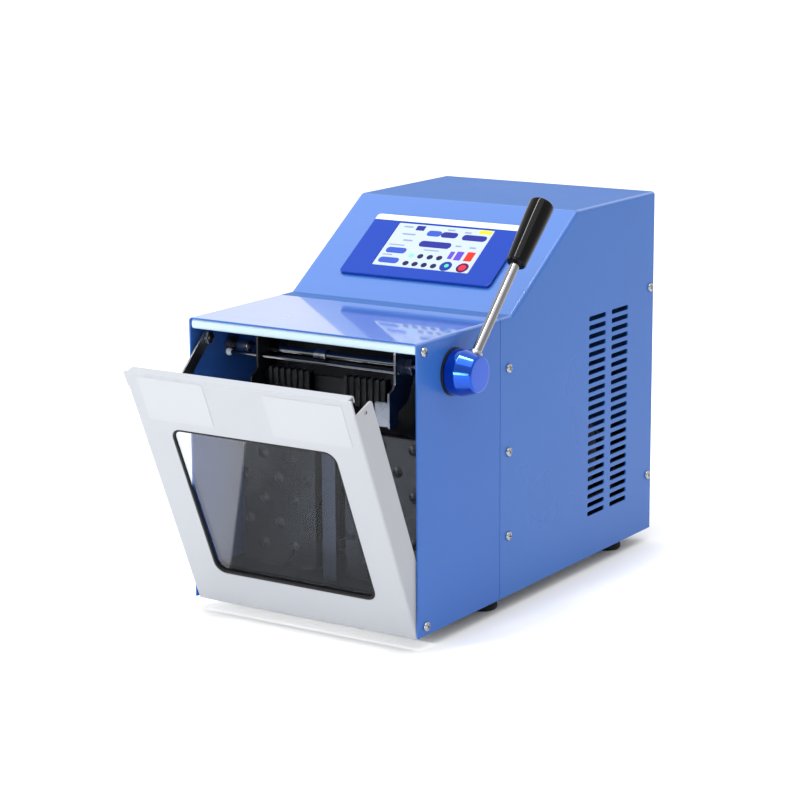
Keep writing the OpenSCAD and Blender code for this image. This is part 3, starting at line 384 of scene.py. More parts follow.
finishes = dict(
    hoodPaint=finishMaterial("hoodPaint", (48, 95, 171), (53, 102, 180), (0.26, 0.32), grain=300,
                             bump=0.006, coat=1.0, coatRough=0.05, coatIor=1.95, coatUp=True,
                             specular=0.18),
    # the cover's level top gets a darker colour as painted shade
    coverPaint=finishMaterial("coverPaint", (52, 99, 172), (57, 106, 181), (0.26, 0.32), grain=300,
                              bump=0.008, coat=1.0, coatRough=0.16, coatIor=1.7,
                              coatUp="slopes", specular=0.18, levelShadeTone=(56, 96, 158)),
    doorPaint=finishMaterial("doorPaint", (155, 158, 164), (162, 165, 171), (0.34, 0.44), grain=1200,
                             bump=0.04, edge=(150, 152, 158), specular=0.4),
    polishedSteel=finishMaterial("polishedSteel", (128, 128, 130), (158, 158, 160), (0.05, 0.12), 1.0,
                                 grain=500, brush=(1, 1, 0.05), bump=0.03, depth=0.00001),
    sheetSteel=finishMaterial("sheetSteel", (138, 141, 146), (160, 163, 168), (0.22, 0.34), 1.0,
                              grain=700, brush=(1, 1, 0.04), bump=0.06, depth=0.00001),
    zincSteel=finishMaterial("zincSteel", (156, 158, 162), (180, 182, 185), (0.16, 0.30), 1.0,
                             grain=800, bump=0.05, depth=0.00002),
    machinedAlloy=finishMaterial("machinedAlloy", (118, 120, 124), (134, 136, 140), (0.32, 0.45), 1.0,
                                 grain=600, brush=(0.05, 1, 1), bump=0.05, depth=0.00002),
    # a steel darkened as painted shade, for the drive parts inside the housing that show through the vent
    # slots
    shadedSteel=finishMaterial("shadedSteel", (40, 41, 44), (54, 55, 58), (0.4, 0.55), 1.0, grain=600,
                              brush=(0.05, 1, 1), bump=0.05, depth=0.00002),
    barSteel=finishMaterial("barSteel", (58, 62, 72), (74, 78, 88), (0.26, 0.4), 0.6, grain=500,
                            brush=(1, 1, 0.04), bump=0.05, depth=0.00002, edge=(110, 116, 128)),
    # the pale cyan edge colour is a painted highlight along the hub's edges
    anodisedBlue=finishMaterial("anodisedBlue", (0, 66, 176), (6, 84, 198), (0.08, 0.14), 0.85,
                                grain=900, brush=(1, 0.02, 0.02), bump=0.05, depth=0.00001,
                                edge=(90, 190, 250), coat=0.4, coatRough=0.06),
    blackPlastic=finishMaterial("blackPlastic", (16, 17, 19), (22, 23, 26), (0.35, 0.5), grain=1400,
                                bump=0.12, depth=0.00004, edge=(34, 36, 40), specular=0.3),
    liningBlack=finishMaterial("liningBlack", (18, 19, 23), (24, 26, 31), (0.28, 0.45), grain=1000,
                               bump=0.08, depth=0.00004, edge=(46, 50, 56), specular=0.3),
    paddleBlack=finishMaterial("paddleBlack", (15, 17, 21), (21, 23, 28), (0.22, 0.34), grain=900,
                               bump=0.04, depth=0.00003, edge=(40, 44, 52), specular=0.5),
    gripBlack=finishMaterial("gripBlack", (4, 4, 6), (7, 7, 9), (0.05, 0.08), grain=900, bump=0.01,
                             edge=(16, 16, 19), specular=0.14),
    rubberBlack=finishMaterial("rubberBlack", (14, 14, 15), (24, 24, 25), (0.6, 0.8), grain=700,
                               bump=0.25, depth=0.0001, specular=0.3),
    bezelFilm=finishMaterial("bezelFilm", (6, 50, 148), (10, 58, 158), (0.18, 0.26), grain=1600,
                             bump=0.03, specular=0.25),
    bandFilm=finishMaterial("bandFilm", (196, 208, 226), (204, 215, 230), (0.14, 0.22), grain=1600,
                            bump=0.03, coat=0.3),
    labelFilm=finishMaterial("labelFilm", (159, 162, 168), (165, 168, 174), (0.36, 0.4), grain=1800,
                             bump=0.03, coat=0.2, coatRough=0.1),
    lampFilm=litMaterial("lampFilm", (164, 184, 196), (174, 192, 202), 0.34),
    screenLit=litMaterial("screenLit", (160, 172, 192), (170, 181, 198), 0.16),
    whitePlastic=finishMaterial("whitePlastic", (206, 208, 210), (218, 219, 220), (0.2, 0.3), grain=900,
                                bump=0.05),
    redPlastic=finishMaterial("redPlastic", (156, 18, 20), (176, 24, 26), (0.16, 0.28), grain=900,
                              bump=0.05, edge=(205, 60, 56), coat=0.3),
    bronze=finishMaterial("bronze", (124, 94, 52), (146, 114, 68), (0.3, 0.45), 1.0, grain=1200,
                          bump=0.12, depth=0.00004),
    boardGreen=finishMaterial("boardGreen", (14, 62, 36), (22, 80, 46), (0.3, 0.4), grain=400,
                              bump=0.05),
    motorPaint=finishMaterial("motorPaint", (22, 23, 27), (32, 34, 38), (0.4, 0.55), grain=700,
                              bump=0.15, specular=0.3),
    paneGlass=glassMaterial("paneGlass", (208, 215, 226), (0.0, 0.003), 1.2, 1.58),
)
print("materials made:", len(finishes))


# outlines, drawn in millimetres
def arc(cx, cy, r, start, end, steps=8):
    angles = (math.radians(start + (end - start) * i / steps) for i in range(steps + 1))
    return [(cx + r * math.cos(a), cy + r * math.sin(a)) for a in angles]


def circle(cx, cy, r, steps=32):
    return arc(cx, cy, r, 0, 360, steps)[:-1]


def roundRect(x0, y0, x1, y1, r, steps=6):
    return (arc(x1 - r, y0 + r, r, -90, 0, steps) + arc(x1 - r, y1 - r, r, 0, 90, steps)
            + arc(x0 + r, y1 - r, r, 90, 180, steps) + arc(x0 + r, y0 + r, r, 180, 270, steps))


def aroundPoint(x, y, half, r, steps=2):
    return roundRect(x - half[0], y - half[1], x + half[0], y + half[1], r, steps)


def cornerCurve(before, here, after, reach, steps):
    # the bend that takes a corner's place, from its first point to its last
    a, b = here + before.normalized() * reach, here + after.normalized() * reach
    return [tuple(a.lerp(here, k / steps).lerp(here.lerp(b, k / steps), k / steps))
            for k in range(steps + 1)]


def rounded(points, radii, steps=5):
    # a polygon with each corner turned on its own radius
    made = []
    for i, point in enumerate(points):
        radius = radii[i] if isinstance(radii, (list, tuple)) else radii
        here = Vector(point)
        before, after = Vector(points[i - 1]) - here, Vector(points[(i + 1) % len(points)]) - here
        if radius <= 0:
            made.append(tuple(here))
            continue
        half = before.angle(after) / 2
        reach = min(radius / math.tan(half), before.length * 0.49, after.length * 0.49)
        made += cornerCurve(before, here, after, reach, steps)
    return made


def signedArea(points):
    return sum(a[0] * b[1] - b[0] * a[1] for a, b in zip(points, points[1:] + points[:1])) / 2


def offsetLoop(points, amount):
    # the loop moved outwards by the amount, or inwards where it is negative
    made = []
    for i, p in enumerate(points):
        a, b, c = Vector(points[i - 1]), Vector(p), Vector(points[(i + 1) % len(points)])
        first, last = (b - a).normalized(), (c - b).normalized()
        n1, n2 = Vector((first.y, -first.x)), Vector((last.y, -last.x))
        middle = (n1 + n2)
        middle = middle.normalized() if middle.length > 1e-6 else n1
        made.append(tuple(b + middle * amount / max(middle.dot(n1), 0.35)))
    return made


# solids, each added to an open bmesh through a place matrix
def addPlate(bm, place, outer, holes, low, high, edge=0.3, steps=2, outerEdge=None):
    # an outline with holes, thick from low to high, with its edges turned over on a radius
    loops = [outer if signedArea(outer) > 0 else outer[::-1]]
    loops += [h if signedArea(h) < 0 else h[::-1] for h in holes]
    capEdges = ([], [])
    for index, loop in enumerate(loops):
        rim = outerEdge if index == 0 and outerEdge is not None else edge
        levels = []
        for k in range(steps + 1):
            turn = math.radians(90 * k / steps)
            levels.append((low + rim * (1 - math.cos(turn)), rim * (1 - math.sin(turn))))
        levels += [(high - (z - low), inset) for z, inset in reversed(levels)]
        if rim == 0:
            levels = [(low, 0), (high, 0)]
        rings = [[bm.verts.new(place @ Vector((x, y, z))) for x, y in offsetLoop(loop, -inset)]
                 for z, inset in levels]
        for under, over in zip(rings, rings[1:]):
            for i in range(len(loop)):
                j = (i + 1) % len(loop)
                bm.faces.new((under[i], under[j], over[j], over[i]))
        for side, end in ((0, rings[0]), (1, rings[-1])):
            capEdges[side].extend(bm.edges.get((end[i - 1], end[i])) for i in range(len(end)))
    for edges in capEdges:
        bmesh.ops.triangle_fill(bm, edges=edges, use_beauty=True)


def addLathe(bm, place, profile, steps=48):
    # profile: (radius, height) from the axis out and back to it
    rings = []
    for r, h in profile:
        if r < 1e-6:
            rings.append([bm.verts.new(place @ Vector((0, 0, h)))])
        else:
            rings.append([bm.verts.new(place @ Vector((r * math.cos(a), r * math.sin(a), h)))
                          for a in (2 * math.pi * i / steps for i in range(steps))])
    for a, b in zip(rings, rings[1:]):
        for i in range(steps):
            j = (i + 1) % steps
            corner = [a[i % len(a)], a[j % len(a)], b[j % len(b)], b[i % len(b)]]
            corner = list(dict.fromkeys(corner))
            if len(corner) > 2:
                bm.faces.new(corner)
    if len(rings[0]) > 1 and len(rings[-1]) > 1:  # a ring: close it on itself
        for i in range(steps):
            j = (i + 1) % steps
            bm.faces.new((rings[-1][i], rings[-1][j], rings[0][j], rings[0][i]))


def rodProfile(r, low, high, edge=0.4):
    return [(0, low), (r - edge, low), (r - edge * 0.3, low + edge * 0.3), (r, low + edge),
            (r, high - edge), (r - edge * 0.3, high - edge * 0.3), (r - edge, high), (0, high)]


def addBox(bm, place, low, high, edge=0.4):
    addPlate(bm, place, roundRect(low[0], low[1], high[0], high[1], edge, 2), [], low[2], high[2], edge)


def turnedProfile(points, radii, steps=4):
    # a lathe profile with rounded corners: the two ends stay as they are
    made = [points[0]]
    for i in range(1, len(points) - 1):
        here = Vector(points[i])
        before, after = Vector(points[i - 1]) - here, Vector(points[i + 1]) - here
        radius = radii[i]
        if radius <= 0:
            made.append(tuple(here))
            continue
        reach = min(radius, before.length * 0.49, after.length * 0.49)
        made += cornerCurve(before, here, after, reach, steps)
    return made + [points[-1]]


def piece(name, build, bodyName, finish, stands=(), angle=32):
    # one named piece, the body that carries it, its finish, and the frame nodes it stands for
    bm = bmesh.new()
    build(bm)
    bmesh.ops.recalc_face_normals(bm, faces=bm.faces)
    bmesh.ops.transform(bm, matrix=toWorld, verts=bm.verts)
    mesh = bpy.data.meshes.new(name)
    bm.to_mesh(mesh)
    bm.free()
    mesh.shade_smooth()
    mesh.set_sharp_from_angle(angle=math.radians(angle))
    mesh.materials.append(finishes[finish])
    made = bpy.data.objects.new(name, mesh)
    bpy.context.scene.collection.objects.link(made)
    # keeps big faces flat beside their bevels
    flatten = made.modifiers.new("flatFaces", "WEIGHTED_NORMAL")
    flatten.weight, flatten.keep_sharp = 100, True
    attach(made, bodyName)
    if stands:
        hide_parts(*stands)
    return made


# housing
def buildHood(bm):
    b = body
    out, half = b["bend"], b["halfWidth"]
    low, top = b["foot"], b["hoodTop"]
    shell = ([(-half, low)] + arc(-half + out, top - out, out, 180, 90, 6)
             + arc(half - out, top - out, out, 90, 0, 6) + [(half, low)])
    thin = out - b["wall"]
    shell += ([(inner, low)] + arc(inner - thin, top - b["wall"] - thin, thin, 0, 90, 6)
              + arc(-inner + thin, top - b["wall"] - thin, thin, 90, 180, 6) + [(-inner, low)])
    addPlate(bm, frontView, shell, [], -(b["seam"] - b["seamGap"]), 0, 0.3)


piece("hood", buildHood, "root", "hoodPaint", ["front_hood"])

ventSet = dict(first=272.3, columnPitch=40.5, columns=2, count=23, pitch=7.85, low=48.6, length=30,
               height=4.2, corner=1.6)


def slotLoops():
    v = ventSet
    starts = ((v["first"] + c * v["columnPitch"], v["low"] + i * v["pitch"])
              for c in range(v["columns"]) for i in range(v["count"]))
    return [roundRect(y, z, y + v["length"], z + v["height"], v["corner"], 3) for y, z in starts]


def coverProfile(depth):
    # the slope with its two bends, at a depth under the cover's outer face
    b = body
    half = math.radians(slopeAngle) / 2
    lean = depth * math.tan(half)
    knee, crown = 3 + depth, 5 - depth
    z = b["hoodTop"] - depth
    top = b["top"] - depth
    line = [(0, z), (b["slopeFoot"] + lean, z), (b["slopeTop"] + lean, top), (b["rear"] + 99, top)]
    return rounded(line, [0, knee, crown, 0], 6)[1:-1]


def coverLine(depth):
    b = body
    ends = [(b["seam"], b["hoodTop"] - depth), (b["rear"], b["top"] - depth)]
    return ends[:1] + coverProfile(depth) + ends[1:]


def buildCover(bm):
    b = body
    half, bend, wall = b["halfWidth"], b["bend"], b["wall"]
    section = [(half, bend)] + [(half - bend + bend * math.cos(a), bend - bend * math.sin(a))
                                for a in (math.radians(15 * k) for k in range(1, 7))]
    section = section + [(-x, d) for x, d in reversed(section)]
    rows = [[bm.verts.new((x, y, z)) for y, z in coverLine(d)] for x, d in section]
    for r1, r2 in zip(rows, rows[1:]):
        for i in range(len(r1) - 1):
            bm.faces.new((r1[i], r1[i + 1], r2[i + 1], r2[i]))
    under = []
    for row in (rows[6], rows[7]):  # the inner face of the top sheets
        x = math.copysign(inner - 1, row[0].co.x)
        under.append([bm.verts.new((x, y, z)) for y, z in coverLine(wall)])
    for i in range(len(under[0]) - 1):
        bm.faces.new((under[0][i], under[0][i + 1], under[1][i + 1], under[1][i]))
    for i in (0, -1):  # the sheet's front and rear edges
        bm.faces.new((rows[6][i], rows[7][i], under[1][i], under[0][i]))
    side = coverLine(bend) + [(b["rear"], b["foot"]), (b["seam"], b["foot"])]
    for low in (inner, -half):
        addPlate(bm, sideView, side, slotLoops(), low, low + wall, 0.25, 2, 0)


piece("rearCover", buildCover, "root", "coverPaint", ["rear_cover"])

rearPanel = dict(y=388, thick=1.5, gap=0.2, fanZ=255, fanHole=37, screwReach=35.75, screwFace=391.5,
                 inletX=80, inletZ=50, inletHole=(14, 10), switchZ=92, switchHole=(11, 15),
                 flangeFront=370, flangeLow=16, flangeDrop=3.2)


def buildRearPanel(bm):
    r, x = rearPanel, inner - rearPanel["gap"]
    holes = [circle(0, r["fanZ"], r["fanHole"], 48),
             aroundPoint(r["inletX"], r["inletZ"], r["inletHole"], 0.5),
             aroundPoint(r["inletX"], r["switchZ"], r["switchHole"], 0.5)]
    outline = roundRect(-x, body["foot"], x, body["top"] - body["wall"] - r["gap"], 0.6, 2)
    addPlate(bm, frontView, outline, holes, -(r["y"] + r["thick"]), -r["y"], 0.25)
    for low in (-x, x - r["thick"]):
        addBox(bm, Matrix(), (low, r["flangeFront"], r["flangeLow"]),
               (low + r["thick"], r["y"], body["top"] - r["flangeDrop"]), 0.2)


piece("rearPanel", buildRearPanel, "root", "coverPaint", ["rear_panel"])

lampRail = dict(low=238.2, high=245.8, back=11, front=0.6, corner=2.6, gap=0.4)


def buildLamp(bm):
    r, x = lampRail, inner - lampRail["gap"]
    section = rounded([(r["front"], r["low"]), (r["back"], r["low"]), (r["back"], r["high"]),
                       (r["front"], r["high"])], [r["corner"], 0.6, 0.6, r["corner"]], 5)
    addPlate(bm, sideView, section, [], -x, x, 1.2, 3)


piece("lampRail", buildLamp, "root", "lampFilm", ["light_rail"])


lining = dict(gap=0.2, low=14, top=245.8, thick=2, rodX=51, rodZ=100, rodHole=8,
              ribX=92, ribHalf=4, ribLow=40, ribTop=236, ribProud=1.2)


def buildLining(bm):
    g, face = lining, body["chamber"]
    x = inner - g["gap"]
    holes = [circle(sign * g["rodX"], g["rodZ"], g["rodHole"], 32) for sign in (-1, 1)]
    outline = roundRect(-x, g["low"], x, g["top"], 0.5, 2)
    addPlate(bm, frontView, outline, holes, -(face + g["thick"]), -face, 0.3)
    for sign in (-1, 1):  # a pressed rib down each side of the wall
        rib = sign * g["ribX"]
        addBox(bm, Matrix(), (rib - g["ribHalf"], face - g["ribProud"], g["ribLow"]),
               (rib + g["ribHalf"], face + 0.5, g["ribTop"]), 0.8)


piece("chamberLining", buildLining, "root", "liningBlack", ["chamber_back"])


tray = dict(gap=0.3, front=26, low=14, thick=1.5, bend=2.2)


def buildTray(bm):
    t, back, top = tray, body["chamber"], body["floor"]
    x, lip, under = inner - t["gap"], t["front"] + t["thick"], top - t["thick"]
    section = rounded([(t["front"], t["low"]), (lip, t["low"]), (lip, under), (back, under), (back, top),
                       (t["front"], top)], [0, 0, 0.5, 0, 0, t["bend"]], 5)
    addPlate(bm, sideView, section, [], -x, x, 0.3)


piece("chamberTray", buildTray, "root", "liningBlack", ["chamber_floor"])

centre = dict(half=6.75, front=38, thick=6, top=159, post=4, lowPost=60, highPost=139)


def buildCentre(bm):
    c = centre
    back = c["front"] + c["thick"]
    addBox(bm, Matrix(), (-c["half"], c["front"], body["floor"]), (c["half"], back, c["top"]), 0.8)
    for z in (c["lowPost"], c["highPost"]):
        addLathe(bm, shift(0, 0, z) @ alongBack, rodProfile(c["post"], back, body["chamber"]), 24)


piece("centreBar", buildCentre, "root", "barSteel", ["centre_bar"])
print("housing made")


# screws, with a domed head and a black cross on it as the painted shade of a cross recess
screw = dict(r=2, head=4, high=2.2, crossReach=2.3, crossWidth=0.9, crossFace=2.22)


def addScrew(bm, place, shank):
    r, head, high = screw["r"], screw["head"], screw["high"]
    profile = [(0, -shank), (r - 0.4, -shank), (r, -shank + 0.4), (r, 0), (head - 0.3, 0), (head, 0.3),
               (head, 0.7), (head * 0.9, high * 0.66), (head * 0.62, high * 0.92), (head * 0.34, high)]
    addLathe(bm, place, profile + [(0, high * 0.98)], 28)


# a black cross set into the head's top: painted shade where a cross recess would be
def addCross(bm, place):
    face, half = screw["crossFace"], screw["crossWidth"] / 2
    slit = aroundPoint(0, 0, (screw["crossReach"], half), half * 0.9, 3)
    for turn in (0, 90):
        addPlate(bm, place @ spin("Z", turn), slit, [], face - 0.5, face + 0.04, 0.05, 1)


sideScrews = dict(
    hood=[(9.6, 239.6), (11.8, 19.4)], seam=[(137.4, z) for z in (204.6, 134.7, 63.4)],
    rear=[(383.5, z) for z in (234.9, 62.6)], shanks=dict(hood=1.4, seam=4, rear=4),
)


def screwPlaces():
    for sign in (-1, 1):
        for group, shank in sideScrews["shanks"].items():
            for i, (y, z) in enumerate(sideScrews[group]):
                turn = 27 * i + 11 * sign + 13  # no two crosses stand alike
                place = shift(sign * body["halfWidth"], y, z) @ spin("Y", 90 * sign)
                yield place @ spin("Z", turn), shank


footSet = dict(x=89, front=131, rear=347, r=12.5, high=12, waist=0.7, recess=5, recessTop=6, hole=2.2)
panShanks = dict(fan=12, foot=10)


def panPlaces():
    p = rearPanel
    for sx in (-1, 1):
        for sz in (-1, 1):
            place = shift(sx * p["screwReach"], p["screwFace"], p["fanZ"] + sz * p["screwReach"])
            yield place @ alongBack @ spin("Z", 20), panShanks["fan"]
        for y in (footSet["front"], footSet["rear"]):
            yield shift(sx * footSet["x"], y, footSet["recessTop"]) @ spin("X", 180), panShanks["foot"]


def addScrews(bm, places):
    for place, shank in places:
        addScrew(bm, place, shank)


def addCrosses(bm, places):
    for place, _ in places:
        addCross(bm, place)


for kind, places in (("side", screwPlaces), ("pan", panPlaces)):
    piece(kind + "Screws", lambda bm: addScrews(bm, places()), "root", "zincSteel",
          [kind + "_screws"])
    piece(kind + "ScrewRecessShade", lambda bm: addCrosses(bm, places()), "root", "blackPlastic")


def buildFeet(bm):
    f = footSet
    r, high, waist = f["r"], f["high"], f["r"] - f["waist"]
    points = [(f["recess"], 0), (r - 1.2, 0), (r, 1.4), (r, 4), (waist, 4.6), (waist, 5.4), (r, 6),
              (r - 0.5, high - 0.3), (r - 1, high), (f["hole"], high), (f["hole"], f["recessTop"]),
              (f["recess"], f["recessTop"])]
    for sx in (-1, 1):
        for y in (f["front"], f["rear"]):
            addLathe(bm, shift(sx * f["x"], y, 0), points, 40)


piece("feet", buildFeet, "root", "rubberBlack", ["feet"], 40)
print("fasteners and feet made")


# touch panel on the slope: x across, y up the slope, z out of it
panel = dict(x=75, low=27, length=76, thick=3, corner=4, band=7, bandInset=0.6, screenX=48, screenLow=40,
             screenLength=54, screenBack=-5, screenFace=2.35, printBack=2.3, fieldFace=2.42, dotFace=2.44,
             markFace=2.5)


def buildBezel(bm):
    p = panel
    x, low = p["screenX"], p["screenLow"]
    hole = roundRect(-x, low, x, low + p["screenLength"], 1, 3)
    outline = roundRect(-p["x"], p["low"], p["x"], p["low"] + p["length"], p["corner"], 8)
    addPlate(bm, slopePlace, outline, [hole], 0, p["thick"], 0.8, 3)


piece("touchBezel", buildBezel, "root", "bezelFilm", ["touch_bezel"])


def buildBand(bm):
    p = panel
    top = p["low"] + p["length"] - p["bandInset"]
    x, c = p["x"] - p["bandInset"], p["corner"] - p["bandInset"]
    outline = ([(-x, top - p["band"]), (x, top - p["band"])]
               + arc(x - c, top - c, c, 0, 90, 8) + arc(-x + c, top - c, c, 90, 180, 8))
    addPlate(bm, slopePlace, outline, [], p["thick"] - 0.05, p["thick"] + 0.15, 0.05, 1)


piece("bezelBand", buildBand, "root", "bandFilm")


def buildDisplay(bm):
    p = panel
    x, low, gap = p["screenX"], p["screenLow"], 0.1
    outline = roundRect(-x + gap, low + gap, x - gap, low + p["screenLength"] - gap, 0.9, 3)
    addPlate(bm, slopePlace, outline, [], p["screenBack"], p["screenFace"], 0.15)


piece("display", buildDisplay, "root", "screenLit", ["touch_screen"])

# plain fields on the display: a colour, then the middle across, middle down, width and height of each
# one in shares of the display
displayFields = dict(
    navyBars=((30, 36, 120), [(0.25, 0.09, 0.09, 0.11), (0.58, 0.19, 0.17, 0.13),
                              (0.845, 0.21, 0.25, 0.13), (0.50, 0.435, 0.33, 0.14)]),
    blueBars=((44, 72, 160), [(0.42, 0.185, 0.15, 0.13), (0.15, 0.635, 0.21, 0.13),
                              (0.14, 0.87, 0.21, 0.13)]),
    greyBars=((120, 130, 156), [(0.12, 0.08, 0.10, 0.035), (0.17, 0.25, 0.14, 0.035),
                                (0.20, 0.39, 0.10, 0.035), (0.12, 0.51, 0.16, 0.025),
                                (0.09, 0.745, 0.10, 0.025), (0.57, 0.075, 0.08, 0.03),
                                (0.75, 0.10, 0.07, 0.035), (0.74, 0.42, 0.06, 0.035),
                                (0.89, 0.43, 0.07, 0.035), (0.50, 0.57, 0.16, 0.025)]),
    yellowTag=((226, 190, 40), [(0.92, 0.06, 0.14, 0.09)]),
    violetKey=((84, 56, 168), [(0.725, 0.635, 0.045, 0.17), (0.805, 0.635, 0.07, 0.20)]),
    redKey=((186, 40, 24), [(0.913, 0.63, 0.08, 0.21)]),
)
# round marks: a colour, a radius in shares of the display's width, then the middles
displayDots = dict(
    greenDot=((120, 190, 172), 0.030, [(0.337, 0.723)]),
    darkDots=((22, 24, 62), 0.030, [(0.43, 0.722), (0.53, 0.722), (0.627, 0.72), (0.33, 0.905),
                                    (0.425, 0.905), (0.522, 0.908), (0.62, 0.91)]),
    blueKey=((18, 44, 128), 0.060, [(0.743, 0.888)]),
    greenMark=((70, 190, 150), 0.022, [(0.748, 0.875)]),
    wineKey=((70, 16, 60), 0.060, [(0.913, 0.887)]),
    redMark=((190, 36, 60), 0.036, [(0.913, 0.887)]),
)


def screenPoint(u, v):
    # shares across and up the display, on the slope
    p = panel
    return (-p["screenX"] + 2 * p["screenX"] * u, p["screenLow"] + p["screenLength"] * v)


def addFields(bm, places):
    p = panel
    for u, v, w, h in places:
        (x0, y0), (x1, y1) = screenPoint(u - w / 2, 1 - v - h / 2), screenPoint(u + w / 2, 1 - v + h / 2)
        r = min(x1 - x0, y1 - y0) * (0.45 if w > h else 0.1)
        outline = roundRect(x0, y0, x1, y1, r, 4)
        addPlate(bm, slopePlace, outline, [], p["printBack"], p["fieldFace"], 0.03, 1)


def addDots(bm, places, size, face):
    p = panel
    for u, v in places:
        outline = circle(*screenPoint(u, 1 - v), size * p["screenX"] * 2, 20)
        addPlate(bm, slopePlace, outline, [], p["printBack"], face, 0.05, 1)


def displayPiece(name, colour, build):
    finishes[name] = litMaterial(name, colour, tuple(min(c + 8, 255) for c in colour), 0.1)
    piece("display_" + name, build, "root", name)


for fieldName, (colour, places) in displayFields.items():
    displayPiece(fieldName, colour, lambda bm: addFields(bm, places))
for dotName, (colour, size, places) in displayDots.items():
    face = panel["markFace"] if dotName.endswith("Mark") else panel["dotFace"]
    displayPiece(dotName, colour, lambda bm: addDots(bm, places, size, face))
print("touch panel made")


# door, drawn closed
door = dict(x=108, low=12.2, top=238, thick=1.5, flange=24, flangeTop=224.2, bendR=2, pivotHole=2.3,
            eyeY=13.8, eyeZ=219.2, eyeHole=2.2, windowX=79, windowLow=44.2, windowHigh=187.2, windowR=10,
            hemX=104.5, hemBack=9, hemLow=232, lap=6, gasket=1, pane=3, pinY=18, pinZ=177.2, pinR=3)


def buildDoor(bm):
    d = door
    x, bend = d["x"], d["bendR"]
    flat = x - bend
    outline = [(-flat, d["low"]), (flat, d["low"]), (flat, d["flangeTop"]), (x, d["flangeTop"]),
               (x, d["top"]), (-x, d["top"]), (-x, d["flangeTop"]), (-flat, d["flangeTop"])]
    window = roundRect(-d["windowX"], d["windowLow"], d["windowX"], d["windowHigh"], d["windowR"], 8)
    place = doorPlace @ frontView
    addPlate(bm, place, outline, [window], -d["thick"], 0, 0.4, 2, 0)
    for sign in (-1, 1):
        # the bend, then the flange with its eyelet hole
        curve = arc(flat, bend, bend, -90, 0, 6) + arc(flat, bend, bend - d["thick"], 0, -90, 6)
        curve = [(sign * px, py) for px, py in curve]
        addPlate(bm, doorPlace, curve, [], d["low"], d["flangeTop"], 0)
        side = rounded([(bend, d["low"]), (d["flange"], d["low"]), (d["flange"], d["flangeTop"]),
                        (bend, d["flangeTop"])], [0, 2, 3, 0], 4)
        low = x - d["thick"] if sign > 0 else -x
        holes = [circle(d["eyeY"], d["eyeZ"], d["eyeHole"], 20),
                 circle(doorPivot.y, doorPivot.z, d["pivotHole"], 20)]
        addPlate(bm, doorPlace @ sideView, side, holes, low, low + d["thick"], 0.2, 1, 0)
    under, back = d["top"] - d["thick"], d["hemBack"]
    hem = rounded([(d["thick"], under), (back - d["thick"], under), (back - d["thick"], d["hemLow"]),
                   (back, d["hemLow"]), (back, d["top"]), (d["thick"], d["top"])],
                  [0, 0.5, 0, 0, 2, 0], 4)
    addPlate(bm, doorPlace @ sideView, hem, [], -d["hemX"], d["hemX"], 0)


piece("doorShell", buildDoor, "door", "doorPaint", ["door_frame"])


def windowLoop(grow):
    d = door
    x = d["windowX"] + grow
    return roundRect(-x, d["windowLow"] - grow, x, d["windowHigh"] + grow, d["windowR"] + min(grow, 0), 8)


def buildGasket(bm):
    d = door
    place, back, opening = doorPlace @ frontView, -d["thick"], windowLoop(-2)
    addPlate(bm, place, windowLoop(-0.1), [opening], back, -0.3, 0.4, 3)
    addPlate(bm, place, windowLoop(d["lap"]), [opening], back - d["gasket"], back, 0.2)


piece("windowGasket", buildGasket, "door", "rubberBlack", ["window_gasket"])


def buildPane(bm):
    d = door
    near = d["thick"] + d["gasket"]
    addPlate(bm, doorPlace @ frontView, windowLoop(d["lap"]), [], -near - d["pane"], -near, 0.3)


piece("windowPane", buildPane, "door", "paneGlass", ["door_window"])


labels = dict(places=((-96, 195, -32, 235), (25, 195, 98, 233)), corner=2, thick=0.22)


def buildLabels(bm):
    for x0, z0, x1, z1 in labels["places"]:
        outline = roundRect(x0, z0, x1, z1, labels["corner"], 4)
        addPlate(bm, doorPlace @ frontView, outline, [], 0, labels["thick"], 0.1, 2)


piece("blankLabels", buildLabels, "door", "labelFilm", ["blank_labels"])


def buildEyelets(bm):
    d = door
    profile = [(1.3, -0.1), (2.2, -0.1), (2.2, 1.5), (3.4, 1.5), (3.6, 1.8), (3.3, 2.3), (2.4, 2.6),
               (1.6, 2.3), (1.3, 1.6)]
    for sign in (-1, 1):
        place = doorPlace @ shift(sign * d["x"], d["eyeY"], d["eyeZ"]) @ spin("Y", -90 * sign)
        addLathe(bm, place, profile, 24)


piece("flangeEyelets", buildEyelets, "door", "zincSteel", ["flange_eyelets"])


def buildStayPin(bm):
    d = door
    profile = rodProfile(d["pinR"], d["thick"] - d["x"], d["thick"] - d["x"] + 1, 0.2)
    addLathe(bm, doorPlace @ shift(0, d["pinY"], d["pinZ"]) @ alongX, profile, 24)


piece("stayPin", buildStayPin, "door", "zincSteel", ["stay_pin"])
print("door made")

# door stay on the left wall
stayJoint = inHousing(joints["stay_swing"]["pos_m"])
doorPinOpen = doorPlace @ Vector((0, door["pinY"], door["pinZ"]))
stayAngle = math.degrees(math.atan2(stayJoint.y - doorPinOpen.y, stayJoint.z - doorPinOpen.z))
stayReach = math.hypot(stayJoint.y - doorPinOpen.y, stayJoint.z - doorPinOpen.z)
stayNear = math.hypot(stayJoint.y - door["pinY"], stayJoint.z - door["pinZ"])
stay = dict(half=5.5, slot=3.3, pivot=3.1, low=-105.2, thick=1.5, pivotR=3, pivotLeft=-108.5,
            pivotRight=-99.5, nut=5.6, nutLeft=-103.3, nutRight=-99.9, nutHole=3.02)


def stadium(top, bottom, r, steps=10):
    # a strip with round ends, hanging from the pivot
    return arc(0, -bottom, r, 180, 360, steps) + arc(0, -top, r, 0, 180, steps)


def buildStay(bm):
    s = stay
    place = shift(0, stayJoint.y, stayJoint.z) @ spin("X", -stayAngle) @ sideView
    holes = [stadium(stayNear, stayReach, s["slot"]), circle(0, 0, s["pivot"], 24)]
    addPlate(bm, place, stadium(0, stayReach, s["half"]), holes, s["low"], s["low"] + s["thick"], 0.25)


piece("doorStay", buildStay, "stay", "sheetSteel", ["door_stay"])


